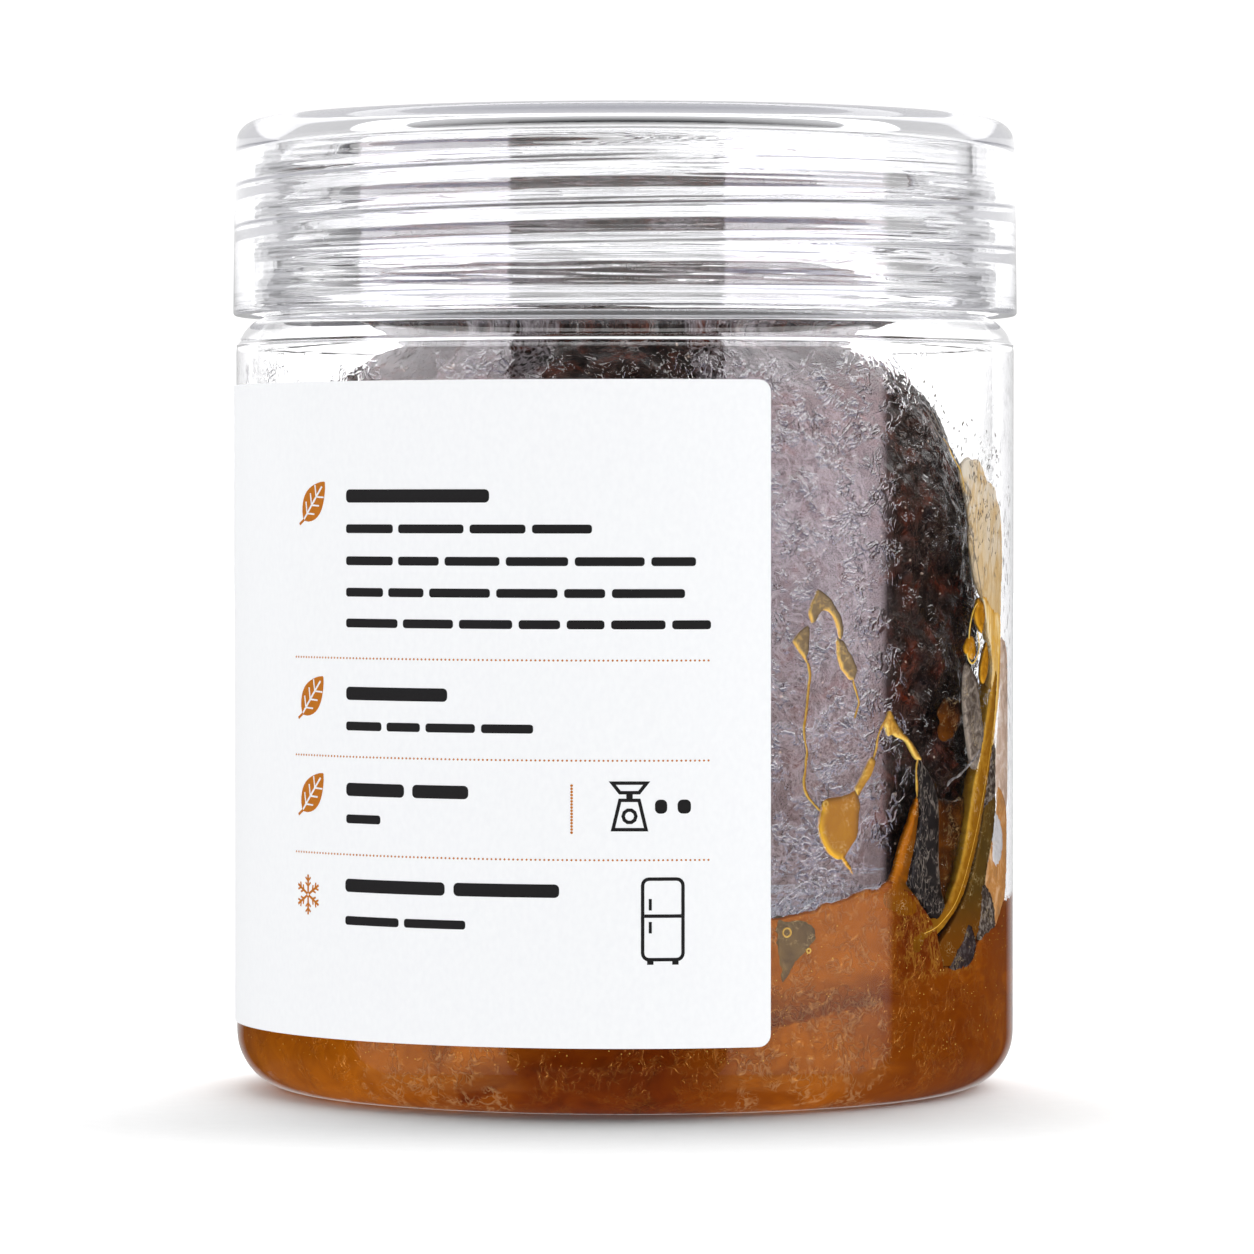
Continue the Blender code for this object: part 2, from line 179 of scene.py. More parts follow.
# The sauce reaches this far into the wall and into its heel, so that no air gap shows
SAUCE_GRIP = 0.13 * MM
HEEL_GRIP = 1.25 * MM
POOL_SEGMENTS = 400
POOL_ROWS = 48
# How far inside the wall and below its highest line the pool's rounded edge runs, in mm
POOL_EDGE = ((0.25, -0.06), (0.7, 0.2), (1.4, 0.45))

PET_IOR = 1.57
PET_TINT = (0.99, 0.99, 0.99, 1.0)

# Light caught in the walls by more reflections than this leaves straight away
CAUGHT_BOUNCES = 2.5

MURK_COLOUR = (0.79, 0.79, 0.82, 1.0)
FILM_DEPTH = 0.011 * MM
FILM_TOP = (59.5 * MM, 60.5 * MM)
FILM_CURL = 1.25 * MM
FILM_SIDE = (19.5 * MM, 25.5 * MM)

NECK_STREAK = 0.012 * MM
LID_STREAK = 0.011 * MM

# Scuffed lines round the neck under its thread
SCUFF_LOW = 65.5 * MM
SCUFF_HIGH = 67.6 * MM
SCUFF_DEPTH = 0.028 * MM
SCUFF_START = -75.0
SCUFF_END = 30.0

# Fine rings inside the lid's skirt
RING_TOP = 65.9 * MM
RING_STEP = 0.37 * MM
RING_DEPTH = 0.008 * MM

# Print: plain bars for lines of words, and small pictograms, in millimetres on the
# paper. x runs along the paper from the front line at azimuth 0, z is the height.
PAPER_PRINT = 0.012 * MM
VEIN_PRINT = 0.03 * MM
PRINT_SUNK = 0.02 * MM
STROKE = 0.27
STROKE_STEP = 0.4

# Each line is (left, right, middle height, height of its bars, words)
TEXT_LINES = (
    (-24.45, -10.88, 48.95, 1.05, 1),
    (-24.45, -2.59, 46.35, 0.7, 4),
    (-24.45, 5.59, 43.8, 0.7, 6),
    (-24.45, 4.72, 41.3, 0.7, 6),
    (-24.45, 6.79, 38.85, 0.7, 7),
    (-24.45, -14.49, 33.25, 1.05, 1),
    (-24.45, -7.27, 30.65, 0.7, 4),
    (-24.45, -12.66, 25.6, 1.05, 2),
    (-24.45, -20.8, 23.25, 0.7, 1),
    (2.35, 5.19, 24.6, 1.1, 2),
    (-24.56, -5.19, 17.95, 1.05, 2),
    (-24.56, -12.92, 15.15, 0.7, 2),
)
DOT_ROWS = (36.05, 28.2, 20.4)
DOT_SPAN = (-30.85, 6.71)
DOT_STEP = 0.36
DOT_SIZE = 0.085
COLUMN_STEP = 0.25
COLUMN_DOT = 0.11
DOT_COLUMN = (-4.2, 22.56, 26.24)
LEAVES = ((-28.6, 48.3), (-28.8, 32.75), (-28.8, 25.0))
LEAF_LENGTH = 4.1
LEAF_WIDTH = 1.25
LEAF_LEAN = 48.0
SNOWFLAKE = (-29.2, 17.0, 1.6)
SCALES = (0.35, 22.65)
FRIDGE = (1.38, 12.6, 4.56, 18.92)

# The pudding's foot as it shows in the sauce, and how brightly the sauce glows at its foot, as painted
# light
CAKE_FOOT = pairs(
    -30.0, 0.0, -8.0, 4.6, 2.1, 5.3, 10.7, 6.1, 19.6, 6.7, 25.9, 7.4, 32.5, 8.0, 41.6, 8.6, 60.0,
    9.4, 90.0, 10.2, 120.0, 0.0,
)
FOOT_GLOW = pairs(
    -90.0, 0.95, -45.0, 0.92, -22.0, 0.62, -10.0, 0.28, 6.0, 0.26, 16.0, 0.62, 28.0, 0.82, 45.0,
    0.6, 62.0, 0.52, 80.0, 0.72, 120.0, 0.8,
)
FOOT_SHADE = 3.6

CLING = JAR_RADIUS - WALL + SAUCE_GRIP
LIT_FROM = np.array([-0.75, -0.66])

# Outlines and paths of the sauce that clings to the wall: (azimuth, height in mm)
HIGH_CAP = pairs(
    27.8, 39.2, 27.6, 39.8, 28.1, 40.6, 28.6, 41.1, 29.2, 41.6, 30.1, 41.3, 31.3, 40.8, 32.1, 40.2,
    32.8, 39.7, 33.3, 39.0, 33.5, 38.3, 33.3, 37.8, 32.8, 37.6, 32.5, 38.2, 32.1, 38.8, 31.6, 39.4,
    31.1, 39.7, 30.2, 39.9, 29.7, 39.8, 29.2, 39.5, 28.8, 39.1, 28.1, 38.9,
)
HIGH_LEG = pairs(
    25.0, 37.5, 25.5, 37.9, 26.2, 38.3, 27.0, 38.6, 27.6, 38.7, 27.8, 38.1, 27.6, 37.3, 27.6, 36.8,
    27.3, 36.2, 27.6, 35.8, 27.3, 35.7, 26.5, 36.3, 25.8, 36.8, 25.4, 37.1,
)
RIGHT_LEG = pairs(
    32.3, 37.7, 33.0, 37.6, 33.7, 37.4, 34.2, 36.8, 34.9, 36.3, 35.6, 35.7, 36.0, 35.2, 35.8, 34.8,
    35.4, 34.4, 34.5, 34.4, 33.7, 34.9, 33.0, 35.3, 32.5, 36.0, 32.3, 36.8,
)
THIN_LEG = pairs(
    27.4, 35.8, 27.6, 35.4, 27.8, 34.7, 27.6, 34.1, 27.5, 33.6, 27.3, 32.4, 27.0, 31.3, 26.8, 30.5,
    27.0, 29.5, 27.3, 28.7, 27.1, 27.9, 27.0, 27.2, 26.8, 26.4, 27.0, 25.7, 27.6, 25.1, 28.6, 24.5,
    29.6, 24.0,
)
TAIL = pairs(
    35.1, 34.4, 35.6, 33.6, 36.1, 32.8, 36.2, 32.5, 35.8, 31.9, 35.4, 31.3,
)
DROP = pairs(
    29.8, 24.0, 29.9, 24.6, 30.6, 25.0, 31.8, 25.1, 33.3, 25.2, 34.7, 25.4, 35.6, 25.6, 36.2, 25.1,
    36.5, 24.4, 36.3, 23.7, 36.2, 22.8, 36.0, 22.0, 35.3, 21.4, 34.6, 20.9, 33.9, 20.3, 34.4, 19.9,
    34.9, 19.5, 35.3, 18.9, 34.6, 19.3, 33.9, 19.7, 33.3, 20.1, 32.6, 20.1, 31.8, 20.3, 30.8, 20.7,
    30.1, 21.3, 29.6, 21.9, 29.3, 22.7, 29.4, 23.5,
)
LINK = pairs(
    36.0, 25.1, 35.6, 25.7, 36.3, 26.4, 37.1, 27.1, 37.8, 27.7, 38.5, 28.2, 39.3, 28.0, 39.3, 27.6,
    38.9, 27.1, 38.2, 26.5, 37.4, 26.0, 36.7, 25.5,
)
LINK_THIN = pairs(
    38.9, 28.1, 39.5, 28.9, 39.7, 29.6, 40.2, 30.3, 41.0, 30.9, 41.8, 31.5, 42.2, 31.8,
)
LOW_APEX = pairs(
    41.0, 30.8, 41.6, 31.4, 42.2, 31.9, 42.8, 31.6, 43.4, 31.0, 44.2, 30.5, 45.0, 30.1, 45.9, 29.7,
    46.7, 29.3, 47.6, 28.8, 48.5, 28.2, 48.9, 27.8, 47.8, 27.8, 46.9, 28.3, 46.1, 28.9, 45.2, 29.4,
    44.4, 29.6, 43.4, 29.7, 42.6, 29.9, 41.8, 29.8, 41.4, 30.3,
)
TONGUE = pairs(
    47.8, 25.0, 48.3, 24.2, 48.1, 23.0, 47.8, 22.1, 47.4, 21.0, 47.0, 20.3, 46.3, 19.2, 45.9, 18.4,
    45.5, 18.0, 46.3, 17.5, 47.6, 16.6, 47.4, 15.6, 44.6, 15.5, 40.6, 16.4, 40.1, 17.4, 41.2, 17.9,
    42.2, 18.5, 43.0, 19.3, 43.6, 20.1, 44.2, 21.0, 45.0, 21.9, 45.9, 22.8, 46.5, 23.5, 47.4, 24.4,
)
TONGUE_THIN = pairs(
    48.0, 27.9, 47.6, 27.0, 47.8, 26.1, 47.8, 24.9,
)
MEMBRANE = pairs(
    48.0, 28.1, 49.2, 27.5, 50.5, 26.8, 51.7, 25.9, 52.5, 25.0, 53.0, 23.6, 53.0, 21.7, 53.0, 20.1,
    53.2, 18.7, 53.7, 17.3, 54.5, 16.1, 54.0, 15.3, 52.7, 14.7, 51.5, 14.9, 50.1, 15.5, 48.7, 16.4,
    46.3, 17.5, 45.5, 18.0, 45.9, 18.4, 46.3, 19.2, 47.0, 20.3, 47.4, 21.0, 47.8, 22.1, 48.1, 23.0,
    48.3, 24.2, 47.8, 25.0, 47.8, 26.1, 47.6, 27.0,
)
RIBBON = pairs(
    72.6, 34.2, 72.1, 33.1, 70.9, 29.9, 69.3, 27.4, 67.2, 24.6, 65.0, 21.8, 62.6, 19.3, 60.3, 17.2,
    58.0, 15.8, 55.6, 14.8, 53.0, 13.9, 50.0, 13.2, 48.0, 12.4, 46.6, 12.8, 46.4, 13.8, 48.8, 14.4,
    51.0, 15.0, 53.2, 15.5, 55.3, 16.4, 57.1, 17.8, 58.7, 19.3, 60.3, 21.4, 61.6, 23.6, 63.0, 25.8,
    64.3, 27.2, 65.7, 28.8, 67.1, 30.6, 68.6, 32.5, 70.2, 34.0, 71.6, 34.9,
)
# Painted highlight: a bright line down the ribbon
HIGHLIGHT_LINE = pairs(
    73.4, 38.6, 73.2, 35.6, 71.8, 32.3, 70.0, 29.5, 68.1, 27.0, 65.7, 24.1, 63.4, 21.5, 61.1, 19.2,
    59.0, 17.3, 57.0, 16.0, 54.8, 15.1, 52.2, 14.3, 49.4, 13.9,
)
# Painted shade: the ribbon's darker side, turned from the light, as a sheet of its own; partly the thin
# sauce's own darker tone
RIBBON_SHADED_SIDE = pairs(
    67.7, 24.4, 71.2, 24.8, 71.7, 22.9, 70.3, 20.9, 68.5, 19.3, 67.3, 17.7, 66.5, 16.1, 65.8, 14.5,
    63.3, 13.0, 60.7, 11.8, 57.2, 11.2, 53.7, 11.1, 51.3, 11.7, 54.0, 13.4, 57.2, 14.9, 60.3, 16.7,
    62.6, 18.6, 65.0, 21.1,
)
FILM_TOP_PATCH = pairs(
    58.8, 51.1, 59.3, 51.7, 59.9, 51.9, 61.2, 52.1, 62.5, 51.9, 63.8, 52.0, 65.2, 51.8, 66.3, 51.2,
    67.5, 50.4, 69.2, 50.1, 71.5, 49.7, 72.5, 48.8, 74.2, 47.8, 74.8, 46.2, 75.4, 43.7, 74.6, 41.3,
    74.2, 39.0, 70.9, 38.6, 67.6, 40.2, 66.0, 40.8, 64.5, 41.5, 63.2, 42.8, 62.2, 44.1, 61.5, 45.4,
    61.8, 46.7, 61.2, 47.8, 60.3, 49.0, 59.3, 49.9,
)
FILM_STRIP = pairs(
    66.2, 41.0, 69.0, 40.2, 71.5, 39.6, 73.9, 39.2, 74.4, 36.4, 73.6, 33.1, 72.1, 31.0, 70.6, 28.6,
    68.6, 26.8, 66.8, 25.6, 64.4, 25.3, 63.9, 26.8, 65.6, 28.6, 67.6, 30.4, 69.2, 32.2, 69.4, 33.6,
    69.9, 35.0, 69.2, 36.6, 68.2, 37.4, 67.6, 38.6, 66.6, 39.8,
)
WINDOWS = (
    pairs(
        64.4, 40.7, 66.1, 40.4, 66.9, 39.8, 67.1, 39.2, 66.7, 38.5, 65.8, 37.8, 64.8, 38.1, 63.7, 38.7,
        63.2, 39.4, 63.6, 40.0,
    ),
    pairs(
        61.4, 37.6, 62.6, 37.6, 63.3, 37.2, 63.6, 36.7, 63.4, 36.1, 62.5, 35.7, 61.1, 36.0, 59.9, 36.5,
        60.4, 37.2,
    ),
    pairs(
        67.6, 37.1, 68.3, 36.4, 68.4, 35.5, 67.9, 34.6, 66.8, 33.8, 65.7, 33.8, 65.2, 34.4, 65.4, 35.3,
        66.1, 36.1, 66.8, 36.6,
    ),
)
LOOP = pairs(
    65.2, 40.3, 63.5, 40.1, 61.9, 38.9, 61.2, 37.3, 60.8, 36.1, 62.2, 35.4, 63.9, 35.9, 64.7, 36.9,
    64.0, 38.0,
)
GREY_VEIL = pairs(
    60.6, 35.5, 62.5, 35.0, 64.6, 34.0, 65.4, 32.4, 66.2, 30.8, 67.0, 28.7, 65.3, 27.1, 62.6, 26.9,
    61.3, 28.3, 60.3, 30.1, 59.7, 32.0, 59.7, 33.9,
)
DEEP_SAUCE = (
    pairs(
        55.0, 32.3, 56.3, 32.7, 58.2, 32.7, 60.0, 32.4, 60.9, 31.7, 60.6, 30.9, 59.4, 30.0, 58.0, 29.4,
        56.0, 29.2, 54.5, 29.4, 53.9, 30.1, 54.5, 30.8, 53.9, 31.5,
    ),
    pairs(
        53.5, 24.5, 57.7, 24.4, 61.6, 24.6, 60.7, 22.0, 58.9, 20.0, 57.2, 18.0, 55.0, 16.0, 52.9, 15.6,
        52.4, 17.4, 52.6, 19.7, 53.0, 22.1,
    ),
)
# Painted highlight: a grey glint line on the sauce
GREY_GLINT_PATH = pairs(
    55.0, 25.6, 56.3, 26.1, 58.3, 26.4, 60.6, 27.0, 63.2, 27.7, 65.0, 28.4,
)
SIDE_TAN = pairs(
    72.2, 25.4, 75.6, 24.9, 78.3, 23.2, 78.6, 19.9, 77.6, 16.6, 75.4, 14.4, 72.8, 13.0, 68.4, 15.0,
    67.0, 17.5, 68.2, 19.3, 69.8, 20.9, 71.2, 22.5, 71.9, 23.7,
)
SIDE_PINK = pairs(
    73.8, 37.2, 78.4, 36.3, 79.2, 32.2, 79.3, 27.2, 78.3, 23.4, 73.2, 24.2, 71.0, 25.0, 70.7, 26.6,
    72.0, 29.0, 73.6, 32.3,
)
SIDE_CLEAR = pairs(
    71.4, 23.2, 74.4, 22.3, 75.8, 20.8, 74.6, 19.2, 71.7, 18.6, 69.9, 19.3, 69.9, 20.9, 70.6, 22.1,
)
SIDE_GREY = pairs(
    65.7, 17.4, 68.2, 17.2, 71.0, 15.7, 71.8, 13.9, 69.9, 12.5, 66.9, 12.2, 64.5, 13.1, 64.9, 15.0,
    65.4, 16.2,
)
SIDE_HIGH = pairs(
    69.7, 29.0, 71.6, 28.4, 71.8, 26.4, 71.5, 24.6, 69.0, 24.0, 66.4, 23.6, 67.4, 25.4, 68.8, 27.2,
)
DARK_PATCH = pairs(
    61.3, 14.4, 63.3, 13.4, 63.5, 12.2, 62.0, 11.1, 58.9, 10.6, 55.6, 10.6, 57.2, 12.0, 59.5, 13.1,
)
LABEL_OLIVE = pairs(
    21.9, 15.7, 24.3, 15.8, 27.0, 15.7, 28.9, 15.0, 29.2, 13.8, 27.8, 12.9, 26.0, 12.0, 24.6, 10.8,
    23.2, 10.2, 22.4, 11.6, 22.0, 13.4,
)
LABEL_GLINT = pairs(
    24.1, 14.3, 24.3, 13.6, 23.8, 12.9, 23.4, 12.2, 23.3, 11.5,
)

# Dark lines in the moisture beside the dome's edge
EDGE_LINES = (
    pairs(
        49.8, 56.0, 50.7, 55.2, 51.9, 54.4, 53.1, 53.8, 54.4, 53.3, 55.7, 52.7, 56.8, 52.1,
    ),
    pairs(
        50.7, 55.9, 51.7, 55.3, 52.6, 54.6, 53.9, 54.0, 55.2, 53.6,
    ),
    pairs(
        62.4, 44.9, 63.4, 44.0, 64.2, 43.0, 65.0, 41.8, 65.6, 40.9,
    ),
    pairs(
        61.8, 46.6, 62.6, 45.4, 63.0, 44.2,
    ),
)
GOLD_EDGE = pairs(
    53.9, 53.6, 55.2, 53.0, 56.2, 52.3, 57.3, 51.7, 58.8, 50.9, 59.9, 49.4,
)

# Beads of moisture on the wall: (azimuth, height in mm) of those that stand out
BEADS = pairs(
    49.3, 58.1, 51.2, 57.7, 51.9, 57.0, 50.2, 56.8, 52.1, 56.6, 51.4, 56.1, 53.4, 56.2, 54.1, 55.7,
    53.6, 55.2, 55.2, 54.9, 56.8, 54.4, 58.2, 54.2, 59.3, 54.8, 60.5, 54.7, 62.1, 55.1, 64.9, 53.7,
    67.5, 54.2, 67.9, 53.5, 65.6, 52.9, 69.6, 52.7, 59.9, 53.6, 56.2, 53.2, 56.5, 52.8, 59.0, 52.3,
    66.7, 52.5, 70.1, 52.3, 72.0, 51.7, 57.1, 51.0,
)
# Bubbles at the wall: azimuth, height and radius in mm; each shows as a painted ring of light
BUBBLES = ((24.0, 14.5, 0.34), (27.5, 13.0, 0.17), (30.3, 24.6, 0.2))

# Colours of the coats of sauce: dark, plain and bright, then how strong their marks are
# and the size of these in mm
COATS = {
    "toffee_cap": ((0.075, 0.048, 0.026), (0.21, 0.145, 0.075), (1.0, 0.62, 0.14), 0.25, 0.5),
    "toffee_gold": ((0.10, 0.05, 0.01), (0.52, 0.25, 0.03), (1.0, 0.70, 0.16), 0.3, 0.5),
    "toffee_drop": ((0.16, 0.075, 0.025), (0.40, 0.165, 0.018), (0.95, 0.52, 0.04), 0.08, 1.5),
    "toffee_tongue": ((0.085, 0.030, 0.001), (0.26, 0.070, 0.001), (0.66, 0.20, 0.003), 0.12, 1.0),
    "toffee_ribbon": ((0.10, 0.050, 0.006), (0.26, 0.100, 0.003), (0.88, 0.500, 0.050), 0.15, 1.2),
    "toffee_strip": ((0.50, 0.25, 0.05), (0.80, 0.52, 0.17), (0.97, 0.84, 0.55), 0.6, 1.4),
    "toffee_window": ((0.09, 0.035, 0.003), (0.40, 0.16, 0.004), (0.80, 0.38, 0.02), 0.4, 0.8),
    "toffee_veil": ((0.05, 0.035, 0.028), (0.15, 0.12, 0.10), (0.36, 0.30, 0.25), 0.8, 0.8),
    "toffee_deep": ((0.014, 0.003, 0.0006), (0.060, 0.015, 0.0008), (0.13, 0.036, 0.002), 0.5, 2.0),
    "toffee_side": ((0.26, 0.14, 0.07), (0.50, 0.22, 0.06), (0.78, 0.52, 0.3), 0.5, 1.5),
    "toffee_edge": ((0.36, 0.25, 0.19), (0.56, 0.40, 0.31), (0.9, 0.8, 0.72), 0.5, 1.2),
    "toffee_pale": ((0.36, 0.34, 0.33), (0.56, 0.54, 0.55), (0.8, 0.78, 0.8), 0.4, 0.7),
    # Painted shade of the ribbon's darker side
    "toffee_shaded_olive": ((0.030, 0.019, 0.006), (0.075, 0.040, 0.005), (0.14, 0.070, 0.006), 0.2, 1.6),
    "toffee_skin": ((0.02, 0.014, 0.011), (0.06, 0.044, 0.036), (0.26, 0.22, 0.19), 0.9, 0.5),
    "toffee_gloom": ((0.012, 0.008, 0.008), (0.030, 0.020, 0.021), (0.14, 0.12, 0.12), 0.6, 0.7),
    "toffee_thin": ((0.075, 0.050, 0.026), (0.13, 0.082, 0.038), (0.24, 0.15, 0.06), 0.5, 2.4),
    # Painted highlight colours of the line down the ribbon and of the loop
    "toffee_highlight": ((0.62, 0.32, 0.02), (0.92, 0.56, 0.07), (1.0, 0.80, 0.30), 0.15, 0.5),
    "toffee_glint": ((0.10, 0.09, 0.09), (0.22, 0.20, 0.20), (0.5, 0.47, 0.47), 0.9, 0.5),
    "wet_dark": ((0.05, 0.04, 0.035), (0.11, 0.09, 0.08), (0.3, 0.27, 0.25), 0.3, 0.5),
}
COAT_GLINT = (0.85, 0.62, 0.3)
COAT_TINT = (1.0, 0.72, 0.38)

# The colour that a coat takes at its root in the pool
ROOTED = {
    "toffee_tongue": (0.20, 0.062, 0.001),
    "toffee_ribbon": (0.15, 0.050, 0.001),
    "toffee_shaded_olive": (0.15, 0.045, 0.001),
}

# How the marks of a coat stretch, and the colour of the lines that wind down it
VEINED = {"toffee_strip": ((1.0, 1.0, 0.3), (0.70, 0.36, 0.04))}
FILM_CREAM = (0.74, 0.66, 0.54)
FILM_GOLD = (0.66, 0.46, 0.22)
FILM_VEINS = (0.60, 0.38, 0.14)
FILM_DASHES = (0.07, 0.045, 0.03)
TONGUE_SHAPE = {"step": 0.22, "spread": 0.9, "root": (15.8, 18.6)}
RIBBON_SHAPE = {"step": 0.22, "spread": 0.5, "root": (12.2, 15.4)}
RIBBON_SHADED_SHAPE = {"step": 0.25, "close": 0.06, "root": (12.0, 18.0)}

# Sheets: piece, outlines, coat, thickness and rim in mm, and what more shapes them
SHEETS = (
    ("hook_cap", (HIGH_CAP, HIGH_LEG, RIGHT_LEG), "toffee_cap", 0.3, 0.2, {"step": 0.12}),
    ("hook_apex", (LINK, LOW_APEX), "toffee_gold", 0.35, 0.25, {"step": 0.14}),
    ("drop", (DROP,), "toffee_drop", 0.7, 0.35, {"step": 0.18}),
    ("tongue", (TONGUE,), "toffee_tongue", 0.6, 0.5, TONGUE_SHAPE),
    ("ribbon", (RIBBON,), "toffee_ribbon", 0.8, 0.5, RIBBON_SHAPE),
    # Painted shade: the ribbon's darker side
    ("ribbon_shade_sheet", (RIBBON_SHADED_SIDE,), "toffee_shaded_olive", 0.4, 0.5, RIBBON_SHADED_SHAPE),
    ("membrane", (MEMBRANE,), "sauce_membrane", 0.1, 0.3, {}),
    ("film", (FILM_TOP_PATCH,), "toffee_film", 0.25, 0.4, {"ragged": 0.14, "close": 0.05}),
    ("film_strip", (FILM_STRIP,), "toffee_strip", 0.3, 0.35, {"step": 0.25, "ragged": 0.12, "close": 0.03}),
    ("film_windows", WINDOWS, "toffee_window", 0.2, 0.25, {"step": 0.18, "close": -0.03}),
    ("veil", (GREY_VEIL,), "toffee_veil", 0.15, 0.4, {"close": 0.07}),
    ("deep_sauce", DEEP_SAUCE, "toffee_deep", 0.1, 0.9, {"close": 0.4}),
    ("side_sauce", (SIDE_TAN,), "toffee_side", 0.3, 0.5, {"close": 0.04}),
    ("side_film", (SIDE_PINK,), "toffee_edge", 0.2, 0.5, {"close": 0.05}),
    ("side_gap", (SIDE_CLEAR,), "toffee_pale", 0.1, 0.3, {}),
    ("side_skin", (SIDE_GREY, SIDE_HIGH), "toffee_skin", 0.15, 0.3, {"close": 0.02}),
    ("dark_patch", (DARK_PATCH,), "toffee_gloom", 0.15, 0.3, {"close": -0.02}),
    ("label_olive", (LABEL_OLIVE,), "toffee_thin", 0.2, 0.8, {"ragged": 0.2, "close": -0.02}),
)

# Strands: piece, (half width in mm, path) of each, and coat
THREADS = ((0.11, THIN_LEG), (0.09, TAIL), (0.1, LINK_THIN), (0.12, TONGUE_THIN))
STRANDS = (
    ("threads", THREADS, "toffee_gold"),
    # Painted highlights: the line down the ribbon and the loop in the film
    ("painted_highlight", ((0.13, HIGHLIGHT_LINE), (0.08, LOOP)), "toffee_highlight"),
    # Painted highlight: the grey glint
    ("grey_glint", ((0.12, GREY_GLINT_PATH),), "toffee_glint"),
    ("edge_lines", [(0.05, path) for path in EDGE_LINES], "wet_dark"),
    ("gold_edge", ((0.06, GOLD_EDGE), (0.09, LABEL_GLINT)), "toffee_gold"),
)

# Smaller beads: how many stand over the film and how many beside it
FILM_BEADS = 150
SIDE_BEADS = 60

# Painted specks of light in the pool, how far from its outer skin they sit in mm,
# and the corners of each round its middle
SPECKS = 420
SPECK_SUNK = 1.37
OCTAHEDRON = ((1, 0, 0), (-1, 0, 0), (0, 1, 0), (0, -1, 0), (0, 0, 1), (0, 0, -1))
OCTAHEDRON_FACES = ((0, 2, 4), (2, 1, 4), (1, 3, 4), (3, 0, 4), (2, 0, 5), (1, 2, 5), (3, 1, 5), (0, 3, 5))
RING_SIDES = 20
RING_FOLDS = 6

AMBIENT_LOW = 0.5
AMBIENT_FRONT = 1.62
AMBIENT_OVER = 0.1
AMBIENT_BACK = 6.9
BACKDROP = 1.95
BESIDE_DEEP = 0.12
BACKDROP_SIDE = 0.5
BEHIND = 0.5

# Rays that turn by less than this show the backdrop though they were mirrored
AWAY = 0.8
FLOOR_GLOW = 0.05
FILL_LEFT = 0.12
FILL_RIGHT = 0.5
FILL_TOP = 0.36
LAMP_DISTANCE = 0.6
BOX_LEFT = (-85.6, -34.7, 1.0, 0.5)
BOX_RIGHT = (29.7, 84.0, 0.5, 1.5)
BOX_FOOT = (-0.60, -0.55)
BOX_TOP = (0.37, 0.43)

# How much of their light the outer surfaces show, and what lies behind the walls
BOX_OUTER = 0.08
BOX_DEEP = 0.2

# How bright the mirrored softboxes are, by the upward part of the reflected direction
BOX_SCALE = 20.0
BOX_LOOK = (
    (-0.110, (2.6, 2.6, 3.6)),
    (-0.085, (4.8, 4.8, 6.2)),
    (-0.0605, (5.6, 5.8, 6.6)),
    (-0.0575, (3.4, 2.6, 2.7)),
    (-0.040, (3.8, 2.8, 2.9)),
    (-0.004, (6.1, 5.2, 5.8)),
    (0.0155, (5.5, 4.2, 4.5)),
    (0.030, (5.2, 4.9, 5.1)),
    (0.058, (5.2, 5.0, 5.2)),
    (0.070, (12.5, 12.3, 12.8)),
    (0.160, (12.5, 12.3, 12.8)),
)
ROOM_HIGH = 1.2

# Bands of light by the upward part of a direction: where each starts, is full, fades and
# ends, and how bright it is
SPARKLE = (0.08, 0.09, 0.16, 0.17, 4.5)
GLEAM = (0.36, 0.38, 0.56, 0.58, 4.0)
OVERHEAD = (0.68, 0.70, 0.80, 0.82, 3.0)

# How many surfaces a ray has passed once it is in the wall, and past the walls
IN_WALL = 0.5
PAST_WALLS = 2.5

# Painted shade: near the jar the floor's colour is duller, so that where the lamps stand close it shows as
# bright as elsewhere
FLOOR_NEAR = 0.70
FLOOR_HALF = 3.0

CAMERA_DISTANCE = 552.5 * MM
CAMERA_HEIGHT = 48.4 * MM
CAMERA_DOWN = 1.07
CAMERA_YAW = -0.017
CAMERA_LENS = 190.7
SENSOR_WIDTH = 36.0
CLIP_START = 0.01

BOUNCES = {
    "max_bounces": 32,
    "transmission_bounces": 32,
    "glossy_bounces": 32,
    "diffuse_bounces": 4,
    "transparent_max_bounces": 48,
}


def smooth(share):
    share = np.clip(share, 0.0, 1.0)
    return share * share * (3.0 - 2.0 * share)


def heading(azimuth):
    """The angle about Z, in radians from +X, of an azimuth in degrees from -Y."""
    return np.radians(azimuth - 90.0)


def around(radius, azimuth, height):
    angle = heading(azimuth)
    return Vector((radius * math.cos(angle), radius * math.sin(angle), height))


def arc(centre, radius, start, end, steps):
    """Points of an arc in the profile plane, from one angle to another, in degrees."""
    angles = [math.radians(start + (end - start) * i / steps) for i in range(steps + 1)]
    return [(centre[0] + radius * math.cos(a), centre[1] + radius * math.sin(a)) for a in angles]


def between(start, end, first, count):
    """Points that part a line into count steps, from the given one on, without its end."""
    return [
        (start[0] + (end[0] - start[0]) * i / count, start[1] + (end[1] - start[1]) * i / count)
        for i in range(first, count)
    ]


def straight(start, end, step):
    """Points between two profile points, both left out, about one step apart."""
    return between(start, end, 1, max(1, round(math.dist(start, end) / step)))


def add_object(name, points, faces, material, replaced=None):
    """A smooth mesh object that rides on the body and stands for a node of the model."""
    mesh = bpy.data.meshes.new(name)
    mesh.from_pydata([tuple(p) for p in points], [], faces)
    shape = bmesh.new()
    shape.from_mesh(mesh)
    bmesh.ops.recalc_face_normals(shape, faces=shape.faces)
    shape.to_mesh(mesh)
    shape.free()
    mesh.shade_smooth()
    mesh.materials.append(material)
    obj = bpy.data.objects.new(name, mesh)
    bpy.context.scene.collection.objects.link(obj)
    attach(obj, BODY)
    if replaced:
        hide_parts(replaced)
    return obj


